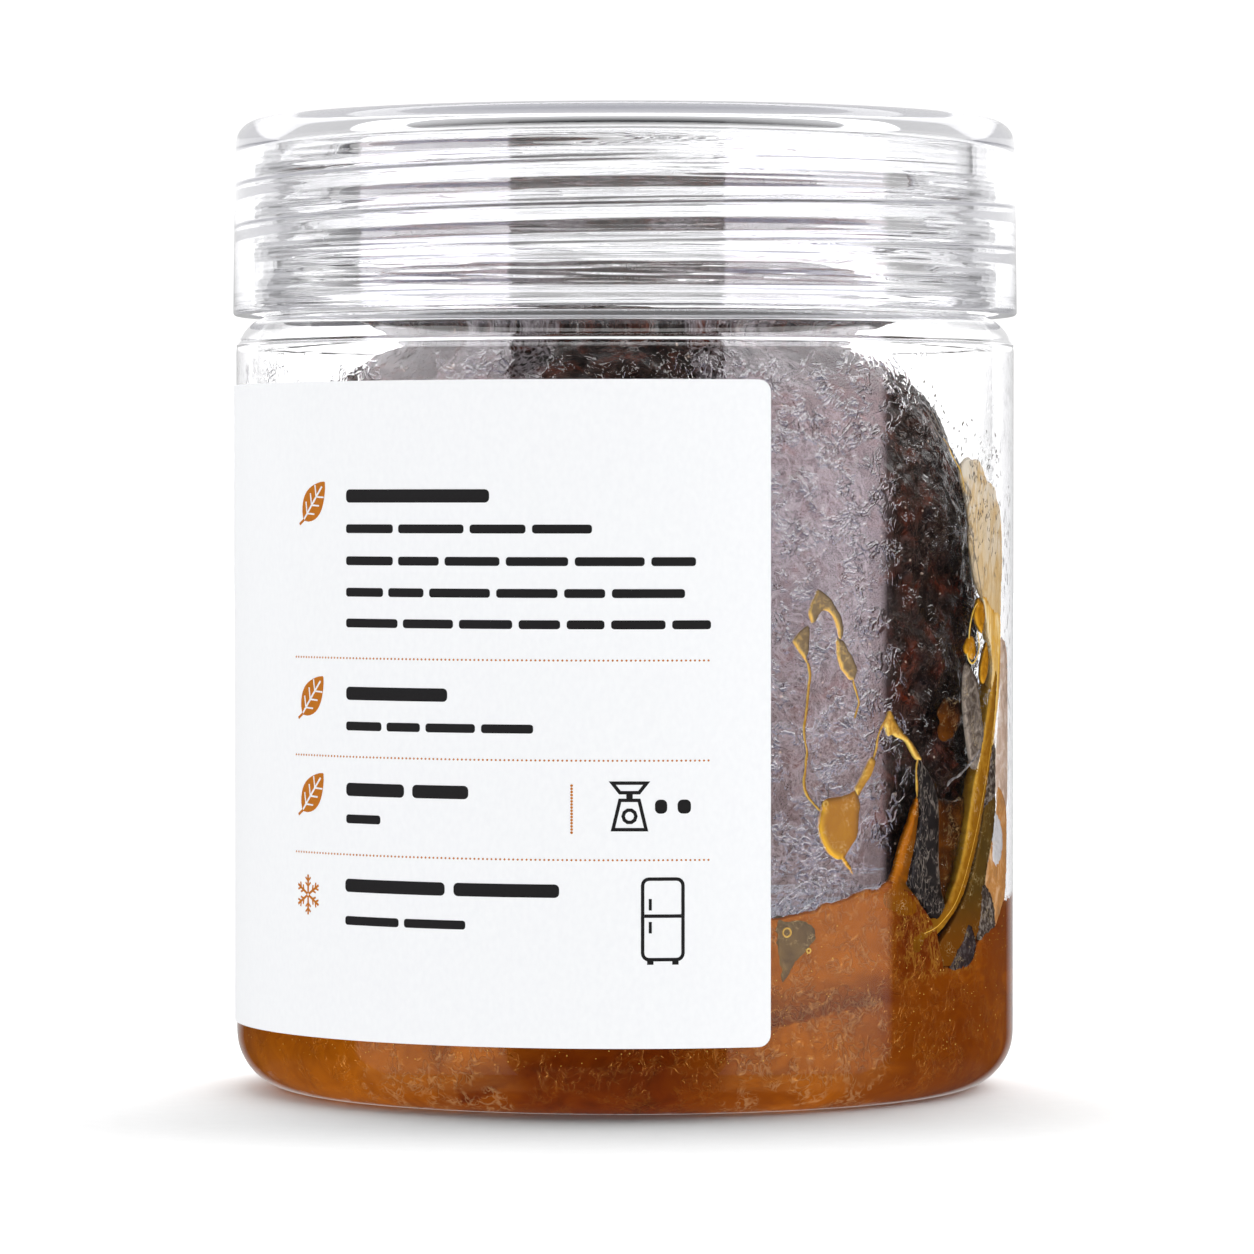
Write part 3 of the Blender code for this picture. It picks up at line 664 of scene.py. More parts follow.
def grid_faces(rows, columns, offset=0, wrap=True):
    """Quads of a grid of points, its columns joined round when wrap is set."""
    faces = []
    for i in range(rows - 1):
        for j in range(columns if wrap else columns - 1):
            k = (j + 1) % columns
            a = offset + i * columns
            faces.append((a + j, a + k, a + columns + k, a + columns + j))
    return faces


def revolved_grid(profile, segments, change=None):
    """Points and faces of a profile turned about Z, from one axis point to another.

    change takes arrays of azimuths, radii and heights, and returns new radii and heights.
    """
    rows = np.array(profile[1:-1])
    azimuth = np.arange(segments) * 360.0 / segments
    azimuths = np.repeat(azimuth[None, :], len(rows), axis=0)
    radii = np.repeat(rows[:, :1], segments, axis=1)
    heights = np.repeat(rows[:, 1:], segments, axis=1)
    if change:
        radii, heights = change(azimuths, radii, heights)
    angle = heading(azimuths)
    places = np.stack([radii * np.cos(angle), radii * np.sin(angle), heights], axis=-1)
    points = [(0.0, 0.0, profile[0][1]), (0.0, 0.0, profile[-1][1])]
    points += places.reshape(-1, 3).tolist()
    return points, capped_faces(len(rows), segments)


def capped_faces(rows, segments):
    """Faces of a turned grid whose first two points are the poles at its two ends."""
    faces = grid_faces(rows, segments, offset=2)
    last = 2 + (rows - 1) * segments
    for j in range(segments):
        k = (j + 1) % segments
        faces.append((0, 2 + k, 2 + j))
        faces.append((1, last + j, last + k))
    return faces


def waves(azimuth, height, seed, count, turns, lengths):
    """Many long low waves round a wall, from about -1 to 1 in all."""
    draw = random.Random(seed)
    total = np.zeros_like(height)
    for _ in range(count):
        turn = draw.choice(turns)
        length = draw.uniform(*lengths) * MM
        phase = draw.uniform(0.0, 2.0 * math.pi)
        total += np.cos(np.radians(azimuth) * turn + 2.0 * math.pi * height / length + phase)
    return total / math.sqrt(count)


def streaked(azimuth, height, seed):
    """The flow pattern of a moulded wall, least at the two sides."""
    flow = waves(azimuth, height, seed, 26, (-3, -2, -1, 1, 2, 3, 4, 5), (0.35, 1.6))
    return flow * (0.4 + 0.6 * np.cos(np.radians(azimuth)) ** 2)


def thread_ridge(azimuth, height, start, turns, reach, shape):
    """How far a thread's ridge stands out of its wall at each azimuth and height."""
    top, crest_top, crest_low, low = shape
    part = ((azimuth - THREAD_AZIMUTH) / 360.0) % 1.0
    middle = 0.5 * (top + low)
    turn = np.clip(np.round((height - start - middle) / PITCH - part), 0, turns - 1)
    along = part + turn
    off = height - start - PITCH * along
    ridge = np.minimum((top - off) / (top - crest_top), (off - low) / (crest_low - low))
    ridge = np.clip(ridge, 0.0, 1.0)
    ridge = 0.85 * ridge + 0.15 * smooth(ridge)
    end = smooth(np.minimum(along, turns - along) / THREAD_RUN_OUT)
    return reach * ridge * end


# Material helpers


def fill(tree, made, sockets):
    """Sets a shader node's inputs to values, or links them to outputs."""
    for name, value in sockets.items():
        if isinstance(value, bpy.types.NodeSocket):
            tree.links.new(value, made.inputs[name])
        else:
            made.inputs[name].default_value = value


def node(tree, kind, sockets=None, **settings):
    """A shader node with its settings and inputs."""
    made = tree.nodes.new("ShaderNode" + kind)
    for name, value in settings.items():
        setattr(made, name, value)
    fill(tree, made, sockets or {})
    return made


def maths(tree, operation, a, b=0.0):
    return node(tree, "Math", {0: a, 1: b}, operation=operation).outputs[0]


def product(tree, *factors):
    result = factors[0]
    for factor in factors[1:]:
        result = maths(tree, "MULTIPLY", result, factor)
    return result


def greatest(tree, *values):
    result = values[0]
    for value in values[1:]:
        result = maths(tree, "MAXIMUM", result, value)
    return result


def ramp(tree, value, *stops):
    """A colour ramp through (position, colour) stops."""
    made = node(tree, "ValToRGB", {"Fac": value})
    elements = made.color_ramp.elements
    while len(elements) < len(stops):
        elements.new(1.0)
    for element, (position, colour) in zip(elements, stops):
        element.position = position
        element.color = (*colour, 1.0)
    return made.outputs["Color"]


def span(tree, value, low, high, to_low, to_high):
    sockets = {"Value": value, "From Min": low, "From Max": high, "To Min": to_low, "To Max": to_high}
    return node(tree, "MapRange", sockets).outputs["Result"]


def band(tree, value, start, full, fading, end, bright):
    """Bright where a value lies in a band with soft edges, nought elsewhere."""
    rise = span(tree, value, start, full, 0.0, bright)
    return product(tree, rise, span(tree, value, fading, end, 1.0, 0.0))


def axes_of(tree):
    """The three parts of a place on the object."""
    return node(tree, "SeparateXYZ", {0: node(tree, "TexCoord").outputs["Object"]}).outputs


def stored(tree, name):
    """A value that the points carry."""
    return node(tree, "Attribute", attribute_name=name).outputs["Fac"]


def place_of(tree, scale):
    where = node(tree, "TexCoord").outputs["Object"]
    return node(tree, "Mapping", {"Vector": where, "Scale": scale}).outputs["Vector"]


def clouds(tree, size, detail=4.0, roughness=0.5, stretch=(1.0, 1.0, 1.0), warp=0.0):
    """Noise whose features are about that size in metres."""
    scale = tuple(s * MM / size for s in stretch)
    vector = place_of(tree, tuple(s / MM for s in scale))
    sockets = {"Vector": vector, "Scale": 1.0, "Detail": detail, "Roughness": roughness, "Distortion": warp}
    return node(tree, "TexNoise", sockets, noise_type="FBM", normalize=True).outputs["Fac"]


def curls(tree, size, width, broken=0.5, stretch=(1.0, 1.0, 1.0), warp=1.0):
    """Thin curled lines, one on them and nought between, about that size in metres."""
    field = clouds(tree, size, detail=1.0, stretch=stretch, warp=warp)
    second = clouds(tree, 1.37 * size, detail=1.0, stretch=stretch, warp=1.3 * warp)
    lines = []
    for values in (field, second):
        away = maths(tree, "ABSOLUTE", maths(tree, "SUBTRACT", values, 0.5))
        lines.append(span(tree, away, 0.0, width, 1.0, 0.0))
    gaps = clouds(tree, 1.9 * size, detail=2.0)
    kept = span(tree, gaps, broken - 0.06, broken + 0.06, 0.0, 1.0)
    return product(tree, greatest(tree, *lines), kept)


def mixed(tree, share, first, second):
    """A blend of two colours, each a colour or an output."""
    sockets = {0: share}
    for place, colour in ((6, first), (7, second)):
        sockets[place] = colour if isinstance(colour, bpy.types.NodeSocket) else (*colour, 1.0)
    return node(tree, "Mix", sockets, data_type="RGBA").outputs[2]


def new_material(name):
    material = bpy.data.materials.new(name)
    material.use_nodes = True
    return material, material.node_tree


def bump(tree, shader, height, depth):
    made = node(tree, "Bump", {"Height": height, "Distance": depth, "Strength": 1.0})
    fill(tree, shader, {"Normal": made.outputs["Normal"]})


def coated(material, colour, roughness, specular=0.5, tint=(1.0, 1.0, 1.0), relief=None, depth=0.0):
    """Gives a material its colour, roughness, gloss and relief, and returns it."""
    tree = material.node_tree
    shader = tree.nodes["Principled BSDF"]
    sockets = {"Base Color": colour, "Roughness": roughness, "Specular IOR Level": specular}
    fill(tree, shader, {**sockets, "Specular Tint": (*tint, 1.0)})
    if relief:
        bump(tree, shader, relief, depth)
    return material


def clear_plastic(name, absorption, streak_depth, film=False):
    """Clear moulded plastic, which lets lamps light what it holds.

    Where film is set, the inside of the wall carries a curled film of moisture.
    """
    material, tree = new_material(name)
    shader = tree.nodes["Principled BSDF"]
    output = tree.nodes["Material Output"]
    haze = span(tree, clouds(tree, 9.0 * MM, detail=3.0), 0.35, 0.75, 0.0, 0.02)
    sockets = {"Base Color": PET_TINT, "IOR": PET_IOR, "Transmission Weight": 1.0, "Roughness": haze}
    fill(tree, shader, sockets)
    flow = clouds(tree, 1.0 * MM, detail=3.0, stretch=(0.08, 0.08, 1.2))
    relief = product(tree, flow, streak_depth / FILM_DEPTH)
    if film:
        relief = maths(tree, "ADD", relief, moisture(tree))
    bump(tree, shader, relief, FILM_DEPTH)
    rays = node(tree, "LightPath").outputs
    caught = maths(tree, "GREATER_THAN", rays["Glossy Depth"], CAUGHT_BOUNCES)
    open_rays = greatest(tree, rays["Is Shadow Ray"], rays["Is Diffuse Ray"], caught)
    clear = node(tree, "BsdfTransparent", {"Color": (0.97, 0.97, 0.97, 1.0)})
    mix = node(tree, "MixShader", {0: open_rays, 1: shader.outputs[0], 2: clear.outputs[0]})
    murk = node(tree, "VolumeAbsorption", {"Color": MURK_COLOUR, "Density": absorption})
    fill(tree, output, {"Surface": mix.outputs[0], "Volume": murk.outputs[0]})
    return material


def moisture(tree):
    """A curled film on the inner wall, as high as the pudding stands close to it."""
    where = axes_of(tree)
    across = product(tree, where["X"], where["X"])
    along = product(tree, where["Y"], where["Y"])
    radius = maths(tree, "SQRT", maths(tree, "ADD", across, along))
    inner = maths(tree, "LESS_THAN", radius, JAR_RADIUS - 0.5 * WALL)
    low = span(tree, where["Z"], *FILM_TOP, 1.0, 0.0)
    front = span(tree, where["X"], *FILM_SIDE, 1.0, 0.15)
    worms = curls(tree, FILM_CURL, 0.055, broken=0.52)
    worms = product(tree, worms, front)
    return product(tree, worms, product(tree, inner, low))


# Jar and lid


def floor_height(radius, thickness):
    """Height of the jar's floor, raised towards the centre, above its underside."""
    share = min(1.0, radius / FOOT_RING_INNER)
    return PUSH_UP_HEIGHT * 0.5 * (1.0 + math.cos(math.pi * share)) + thickness


def jar_profile():
    heel_centre = (JAR_RADIUS - HEEL_RADIUS, HEEL_RADIUS)
    shoulder_centre = (JAR_RADIUS - SHOULDER_RADIUS, SHOULDER_HEIGHT)
    neck_angle = math.degrees(math.acos((NECK_RADIUS - shoulder_centre[0]) / SHOULDER_RADIUS))
    floor_radii = [FOOT_RING_INNER * i / 16.0 for i in range(17)]
    inner_heel = HEEL_RADIUS - WALL
    inner_centre = (shoulder_centre[0] - WALL, SHOULDER_HEIGHT)
    bend = math.radians(SHOULDER_BEND)
    inset = SHOULDER_RADIUS - SHOULDER_TIGHT
    tight_centre = (inner_centre[0] + inset * math.cos(bend), inner_centre[1] + inset * math.sin(bend))
    points = [(r, floor_height(r, WALL)) for r in floor_radii]
    points += arc(heel_centre, inner_heel, -90.0, 0.0, 16)
    points += straight(points[-1], (points[-1][0], SHOULDER_HEIGHT), WALL_ROW)
    points += arc(inner_centre, SHOULDER_RADIUS, 0.0, SHOULDER_BEND, 12)
    points += arc(tight_centre, SHOULDER_TIGHT, SHOULDER_BEND, 90.0, 16)[1:]
    ceiling = points[-1][1]
    points += straight(points[-1], (NECK_BORE + BORE_ROUND, ceiling), 0.2 * MM)
    points += arc((NECK_BORE + BORE_ROUND, ceiling + BORE_ROUND), BORE_ROUND, -90.0, -180.0, 5)[1:]
    rim_inner = (NECK_BORE, RIM_HEIGHT - RIM_ROUND)
    points += straight(points[-1], rim_inner, 0.4 * MM)
    points += arc((NECK_BORE + RIM_ROUND, rim_inner[1]), RIM_ROUND, 180.0, 90.0, 5)
    points += arc((NECK_RADIUS - RIM_ROUND, rim_inner[1]), RIM_ROUND, 90.0, 0.0, 5)
    shoulder = arc(shoulder_centre, SHOULDER_RADIUS, neck_angle, 0.0, 64)
    points += straight(points[-1], (NECK_RADIUS, shoulder[0][1]), ROW)
    points += shoulder
    points += straight(points[-1], (JAR_RADIUS, HEEL_RADIUS), WALL_ROW)
    points += arc(heel_centre, HEEL_RADIUS, 0.0, -90.0, 20)
    points += [(r, floor_height(r, 0.0)) for r in reversed(floor_radii)]
    return points


def shape_jar(azimuth, radius, height):
    """Adds bead, thread, streaks and scuffs to the neck, and the wall's parting line."""
    neck = (abs(radius - NECK_RADIUS) < NEAR) & (height < RIM_HEIGHT - RIM_ROUND)
    top, crest_top, crest_low, low = BEAD_SHAPE
    bead = np.minimum((top - height) / (top - crest_top), (height - low) / (crest_low - low))
    bead = BEAD_REACH * np.clip(bead, 0.0, 1.0)
    ridge = thread_ridge(azimuth, height, *NECK_THREAD)
    streaks = NECK_STREAK * streaked(azimuth, height, seed=3)
    inside = (abs(radius - NECK_BORE) < NEAR) & (height < RIM_HEIGHT - RIM_ROUND)
    scuffs = scuffed(azimuth, height)
    parting = PARTING_REACH * smooth(1.0 - abs(height - PARTING_HEIGHT) / PARTING_HALF)
    outer = radius > JAR_RADIUS - 0.5 * WALL
    radius = radius + np.where(neck, np.maximum(bead, ridge) + streaks + scuffs, 0.0)
    radius = radius + np.where(outer, parting, 0.0)
    return radius + np.where(inside, 0.3 * streaks, 0.0), height


def scuffed(azimuth, height):
    """Fine tangled lines round the front of the neck, under its thread."""
    signed = (azimuth + 180.0) % 360.0 - 180.0
    lines = waves(azimuth, height, 9, 14, (-21, -13, -8, -3, 3, 8, 13, 21), (0.3, 0.7))
    tall = smooth((height - SCUFF_LOW) / (0.4 * MM)) * smooth((SCUFF_HIGH - height) / (0.3 * MM))
    wide = smooth((signed - SCUFF_START) / 30.0) * smooth((SCUFF_END - signed) / 6.0)
    return SCUFF_DEPTH * lines * tall * wide


def lid_profile():
    inner_top = LID_TOP - LID_PLATE
    round_centre = (LID_RADIUS - LID_DRAFT - LID_ROUND, LID_TOP - LID_ROUND)
    inner_centre = (LID_BORE - LID_INNER_ROUND, inner_top - LID_INNER_ROUND)
    points = [(0.0, LID_TOP)]
    points += straight(points[0], (round_centre[0], LID_TOP), 2.0 * MM)
    points += arc(round_centre, LID_ROUND, 90.0, 0.0, 14)
    points += straight(points[-1], (LID_RADIUS, LID_SKIRT + LID_EDGE), 0.5 * MM)
    points += arc((LID_RADIUS - LID_EDGE, LID_SKIRT + LID_EDGE), LID_EDGE, 0.0, -90.0, 4)
    points += arc((LID_BORE + LID_EDGE, LID_SKIRT + LID_EDGE), LID_EDGE, -90.0, -180.0, 4)
    points += straight(points[-1], (LID_BORE, inner_centre[1]), ROW)
    points += arc(inner_centre, LID_INNER_ROUND, 0.0, 90.0, 10)
    points += straight(points[-1], (0.0, inner_top), 2.0 * MM)
    points.append((0.0, inner_top))
    return points


def shape_lid(azimuth, radius, height):
    """Adds the lid's inner thread, moulding streaks and fine rings to its bore."""
    bore = abs(radius - LID_BORE) < NEAR
    ridge = thread_ridge(azimuth, height, *LID_THREAD)
    streaks = LID_STREAK * streaked(azimuth, height, seed=5)
    rings = RING_DEPTH * np.cos(2.0 * math.pi * height / RING_STEP)
    rings = rings * smooth((RING_TOP - height) / (0.3 * MM))
    return radius - np.where(bore, ridge + streaks + rings, 0.0), height


def make_jar_and_lid():
    pet = clear_plastic("clear_pet", 100.0, 0.002 * MM, film=True)
    points, faces = revolved_grid(jar_profile(), JAR_SEGMENTS, shape_jar)
    add_object("jar", points, faces, pet, "jar_body")
    clear = clear_plastic("clear_lid", 230.0, 0.003 * MM)
    points, faces = revolved_grid(lid_profile(), JAR_SEGMENTS, shape_lid)
    add_object("screw_lid", points, faces, clear, "lid")


# Label


def paper_material():
    material, tree = new_material("label_paper")
    fibres = clouds(tree, 0.35 * MM, detail=5.0, stretch=(1.0, 1.0, 0.6))
    tone = ramp(tree, fibres, (0.3, (0.90, 0.91, 0.93)), (0.7, (0.93, 0.94, 0.955)))
    roughness = span(tree, fibres, 0.3, 0.7, 0.42, 0.55)
    return coated(material, tone, roughness, relief=fibres, depth=0.004 * MM)


def ink_material(name, colour):
    material, tree = new_material(name)
    mottle = clouds(tree, 0.2 * MM, detail=3.0)
    tone = ramp(tree, mottle, (0.3, tuple(0.8 * c for c in colour)), (0.7, colour))
    return coated(material, tone, span(tree, mottle, 0.3, 0.7, 0.4, 0.6), 0.15)


def label_columns():
    """(azimuth, inset of the top and bottom edges) of the label's columns."""
    corner = math.degrees(LABEL_CORNER / LABEL_OUTSIDE)
    ends = []
    for i in range(7):
        angle = 0.5 * math.pi * i / 6.0
        ends.append((corner * (1.0 - math.cos(angle)), LABEL_CORNER * (1.0 - math.sin(angle))))
    first = math.ceil(LABEL_BACK_EDGE + corner + 0.5)
    last = math.floor(LABEL_FRONT_EDGE - corner - 0.5)
    columns = [(LABEL_BACK_EDGE + a, inset) for a, inset in ends]
    columns += [(float(i), 0.0) for i in range(first, last + 1)]
    columns += [(LABEL_FRONT_EDGE - a, inset) for a, inset in ends[::-1]]
    return columns


def make_label():
    points = []
    rows = 28
    columns = label_columns()
    for radius in (LABEL_OUTSIDE, LABEL_OUTSIDE - LABEL_THICKNESS):
        for i in range(rows):
            for azimuth, inset in columns:
                low = LABEL_BOTTOM + inset
                high = LABEL_TOP - inset
                height = low + (high - low) * i / (rows - 1)
                points.append(around(radius, azimuth, height))
    width = len(columns)
    front = grid_faces(rows, width, wrap=False)
    back = [tuple(k + rows * width for k in face[::-1]) for face in front]
    rim = [i * width for i in range(rows)]
    rim += [(rows - 1) * width + j for j in range(1, width)]
    rim += [i * width + width - 1 for i in range(rows - 2, -1, -1)]
    rim += list(range(width - 2, 0, -1))
    depth = rows * width
    edge = [(a, b, b + depth, a + depth) for a, b in zip(rim, rim[1:] + rim[:1])]
    faces = front + back + edge
    label = add_object("wrap_label", points, faces, paper_material(), "label")
    label.data.set_sharp_from_angle(angle=SHARP_ANGLE)


# Print


def bar(left, right, middle, height):
    """A flat bar with rounded corners, as columns of points."""
    corner = 0.35 * height
    columns = []
    for i in range(5):
        angle = 0.5 * math.pi * i / 4.0
        inset = corner * (1.0 - math.sin(angle))
        columns.append((left + corner * (1.0 - math.cos(angle)), 0.5 * height - inset))
    count = max(1, round((right - left) / 0.5))
    middle_columns = [
        (left + corner + (right - left - 2.0 * corner) * i / count, 0.5 * height)
        for i in range(1, count)
    ]
    columns += middle_columns + [(left + right - x, half) for x, half in columns[::-1]]
    points = [(x, middle - half) for x, half in columns]
    points += [(x, middle + half) for x, half in columns]
    width = len(columns)
    return points, grid_faces(2, width, wrap=False)


def stroke(path, width, closed=False):
    """A flat line of even width along a path, mitred at its corners."""
    fine = []
    ends = path + path[:1] if closed else path
    for a, b in zip(ends, ends[1:]):
        fine += between(a, b, 0, max(1, round(math.dist(a, b) / STROKE_STEP)))
    if not closed:
        fine.append(path[-1])
    count = len(fine)
    sides = ([], [])
    for i, here in enumerate(fine):
        before = fine[(i - 1) % count] if closed or i else here
        after = fine[(i + 1) % count] if closed or i < count - 1 else here
        first = Vector((here[0] - before[0], here[1] - before[1]))
        second = Vector((after[0] - here[0], after[1] - here[1]))
        first = first.normalized() if first.length else second.normalized()
        second = second.normalized() if second.length else first
        mitre = (first + second).normalized()
        reach = 0.5 * width / max(0.4, mitre.dot(first))
        for side, sign in zip(sides, (1.0, -1.0)):
            side.append((here[0] - sign * mitre.y * reach, here[1] + sign * mitre.x * reach))
    faces = [(i, i + 1, count + i + 1, count + i) for i in range(count - 1)]
    if closed:
        faces.append((count - 1, 0, count, 2 * count - 1))
    return sides[0] + sides[1], faces


def disc(x, z, radius, sides=8):
    turns = [2.0 * math.pi * i / sides for i in range(sides)]
    points = [(x + radius * math.cos(turn), z + radius * math.sin(turn)) for turn in turns]
    return points, [tuple(range(sides))]


def turned_by(points, centre, degrees):
    """Flat points turned about a centre after being placed there."""
    angle = math.radians(degrees)
    c, s = math.cos(angle), math.sin(angle)
    return [(centre[0] + x * c - z * s, centre[1] + x * s + z * c) for x, z in points]


def leaf(centre):
    """A pointed leaf with a short stalk, leaning to the right, and its veins."""
    steps = 12
    columns = []
    for i in range(steps + 1):
        t = i / steps
        half = 0.06 + LEAF_WIDTH * math.sin(math.pi * t) ** 0.75 * (1.15 - 0.45 * t)
        columns.append(((t - 0.42) * LEAF_LENGTH, half))
    blade = [(x, -half) for x, half in columns] + [(x, half) for x, half in columns]
    stalk, stalk_faces = stroke([(-2.35, 0.2), (-1.7, 0.0)], 0.22)
    veins = [stroke([(-1.6, 0.0), (1.9, 0.0)], 0.16)]
    for x in (-1.0, -0.1, 0.8):
        for side in (-1.0, 1.0):
            veins.append(stroke([(x, 0.0), (x + 0.6, 0.75 * side)], 0.13))
    blades = [
        (turned_by(blade, centre, LEAF_LEAN), grid_faces(2, steps + 1, wrap=False)),
        (turned_by(stalk, centre, LEAF_LEAN), stalk_faces),
    ]
    return blades, [(turned_by(points, centre, LEAF_LEAN), faces) for points, faces in veins]


def snowflake(x, z, radius):
    shapes = []
    for k in range(6):
        arm = [stroke([(0.1, 0.0), (radius, 0.0)], 0.2)]
        for side in (-1.0, 1.0):
            for start in (0.42, 0.68):
                foot = start * radius
                arm.append(stroke([(foot, 0.0), (foot + 0.3, 0.34 * side)], 0.15))
        for points, faces in arm:
            shapes.append((turned_by(points, (x, z), 30.0 + 60.0 * k), faces))
    return shapes


def kitchen_scales(x, z):
    """A pan over a body with a round dial."""
    pan = [(x - 1.35, z + 3.8), (x + 1.35, z + 3.8), (x + 0.75, z + 3.05), (x - 0.75, z + 3.05)]
    body = [(x - 1.3, z + 0.15), (x + 1.3, z + 0.15), (x + 0.75, z + 2.45), (x - 0.75, z + 2.45)]
    dial = [
        (x + 0.5 * math.cos(0.2 * math.pi * i), z + 1.2 + 0.5 * math.sin(0.2 * math.pi * i))
        for i in range(10)
    ]
    stem = [(x, z + 2.5), (x, z + 3.0)]
    closed = [stroke(path, STROKE, closed=True) for path in (pan, body, dial)]
    return closed + [stroke(stem, 0.5)]


def fridge(left, bottom, right, top):
    """An upright cabinet with two doors, their handles and two feet."""
    corner = 0.5
    outline = []
    for cx, cz, start in (
        (right - corner, top - corner, 0.0),
        (left + corner, top - corner, 90.0),
        (left + corner, bottom + corner, 180.0),
        (right - corner, bottom + corner, 270.0),
    ):
        outline += arc((cx, cz), corner, start, start + 90.0, 4)
    split = bottom + 0.54 * (top - bottom)
    grip = left + 0.6
    shapes = [stroke(outline, STROKE, closed=True)]
    shapes.append(stroke([(left + 0.14, split), (right - 0.14, split)], STROKE))
    shapes.append(stroke([(grip, split + 0.45), (grip, split + 1.35)], 0.24))
    shapes.append(stroke([(grip, split - 1.35), (grip, split - 0.45)], 0.24))
    for x in (left + 0.6, right - 0.6):
        shapes.append(stroke([(x - 0.25, bottom - 0.25), (x + 0.25, bottom - 0.25)], 0.3))
    return shapes


def text_bars():
    """Each line of words as plain bars of uneven length with gaps between them."""
    draw = random.Random(11)
    shapes = []
    for left, right, middle, height, words in TEXT_LINES:
        gap = 0.75 * height
        shares = [draw.uniform(0.7, 1.3) for _ in range(words)]
        room = right - left - gap * (words - 1)
        start = left
        for share in shares:
            end = start + room * share / sum(shares)
            shapes.append(bar(start, end, middle, height))
            start = end + gap
    return shapes


def dotted_rules():
    shapes = []
    count = round((DOT_SPAN[1] - DOT_SPAN[0]) / DOT_STEP)
    for z in DOT_ROWS:
        shapes += [disc(DOT_SPAN[0] + DOT_STEP * i, z, DOT_SIZE) for i in range(count + 1)]
    x, low, high = DOT_COLUMN
    count = round((high - low) / COLUMN_STEP)
    shapes += [disc(x, low + (high - low) * i / count, COLUMN_DOT) for i in range(count + 1)]
    return shapes


def print_on_label(name, shapes, lift, material):
    """Flat shapes as thin closed slabs of ink bent round the label."""
    points = []
    faces = []
    for flat, flat_faces in shapes:
        base = len(points)
        count = len(flat)
        for radius in (LABEL_OUTSIDE + lift, LABEL_OUTSIDE - PRINT_SUNK):
            for x, z in flat:
                azimuth = math.degrees(x * MM / LABEL_OUTSIDE)
                points.append(around(radius, azimuth, z * MM))
        edges = {}
        for face in flat_faces:
            faces.append(tuple(base + k for k in face))
            faces.append(tuple(base + count + k for k in face[::-1]))
            for a, b in zip(face, face[1:] + face[:1]):
                edges[(a, b)] = True
        for a, b in edges:
            if (b, a) not in edges:
                faces.append((base + b, base + a, base + count + a, base + count + b))
    obj = add_object(name, points, faces, material)
    obj.data.set_sharp_from_angle(angle=SHARP_ANGLE)


def make_print():
    dark = ink_material("dark_ink", (0.018, 0.017, 0.018))
    amber = ink_material("amber_ink", (0.56, 0.175, 0.010))
    pale = ink_material("pale_ink", (0.92, 0.92, 0.94))
    leaves = [leaf(centre) for centre in LEAVES]
    blades = [shape for blade, _ in leaves for shape in blade]
    veins = [shape for _, vein in leaves for shape in vein]
    signs = kitchen_scales(*SCALES) + fridge(*FRIDGE)
    for name, shapes, lift, ink in (
        ("text_bars", text_bars(), PAPER_PRINT, dark),
        ("signs", signs, PAPER_PRINT, dark),
        ("rules", dotted_rules(), PAPER_PRINT, amber),
        ("leaves", blades, PAPER_PRINT, amber),
        ("snowflake", snowflake(*SNOWFLAKE), PAPER_PRINT, amber),
        ("leaf_veins", veins, VEIN_PRINT, pale),
    ):
        print_on_label(name, shapes, lift, ink)


# Pudding


def pudding_profile(step):
    """The dome, side and rounded lower edge, from the top of the axis to its foot."""
    points = []
    rise = PUDDING_TOP - PUDDING_SPRING
    rows = round(0.5 * math.pi * PUDDING_RADIUS / step)
    for i in range(rows):
        radius = PUDDING_RADIUS * math.sin(0.5 * math.pi * i / rows)
        share = 1.0 - (radius / PUDDING_RADIUS) ** DOME_SPREAD
        points.append((radius, PUDDING_SPRING + rise * share ** (1.0 / DOME_RISE)))
    edge_top = PUDDING_UNDERSIDE + PUDDING_EDGE
    points.append((PUDDING_RADIUS, PUDDING_SPRING))
    points += straight(points[-1], (PUDDING_RADIUS, edge_top), step)
    edge_centre = (PUDDING_RADIUS - PUDDING_EDGE, edge_top)
    turn = round(0.5 * math.pi * PUDDING_EDGE / step)
    points += arc(edge_centre, PUDDING_EDGE, 0.0, -90.0, turn)
    points += straight(points[-1], (0.0, PUDDING_UNDERSIDE), 4.0 * step)
    points.append((0.0, PUDDING_UNDERSIDE))
    return points


def pudding_grid(profile, segments):
    """Rings of points of the pudding's surface with its lumps, crumb and swell."""
    rows = np.array(profile)
    slope = np.gradient(rows, axis=0)
    normals = np.stack([-slope[:, 1], slope[:, 0]], axis=-1)
    normals /= np.linalg.norm(normals, axis=1, keepdims=True)
    normals[0] = (0.0, 1.0)
    normals[-1] = (0.0, -1.0)
    grid = []
    for (radius, height), (out, up) in zip(rows.tolist(), normals.tolist()):
        ring = []
        for j in range(segments):
            angle = 2.0 * math.pi * j / segments
            place = Vector((radius * math.cos(angle), radius * math.sin(angle), height))
            normal = Vector((out * math.cos(angle), out * math.sin(angle), up))
            lumps = noise.noise(place / LUMP_SIZE) * LUMP_DEPTH
            crumbs = noise.noise(place / CRUMB_SIZE) * CRUMB_DEPTH
            depth = lumps + crumbs + (crumb_relief(place) + fuller(angle, height))
            low = max(0.0, 1.0 - (height - PUDDING_UNDERSIDE) / LIFT_HEIGHT)
            high = max(0.0, (height - PUDDING_SPRING) / (PUDDING_TOP - PUDDING_SPRING))
            lift = LIFT_SLOPE * max(0.0, place.x - LIFT_START) * low
            ring.append(place + normal * depth + Vector((DOME_SHIFT * high, 0.0, lift)))
        grid.append(ring)
    return grid


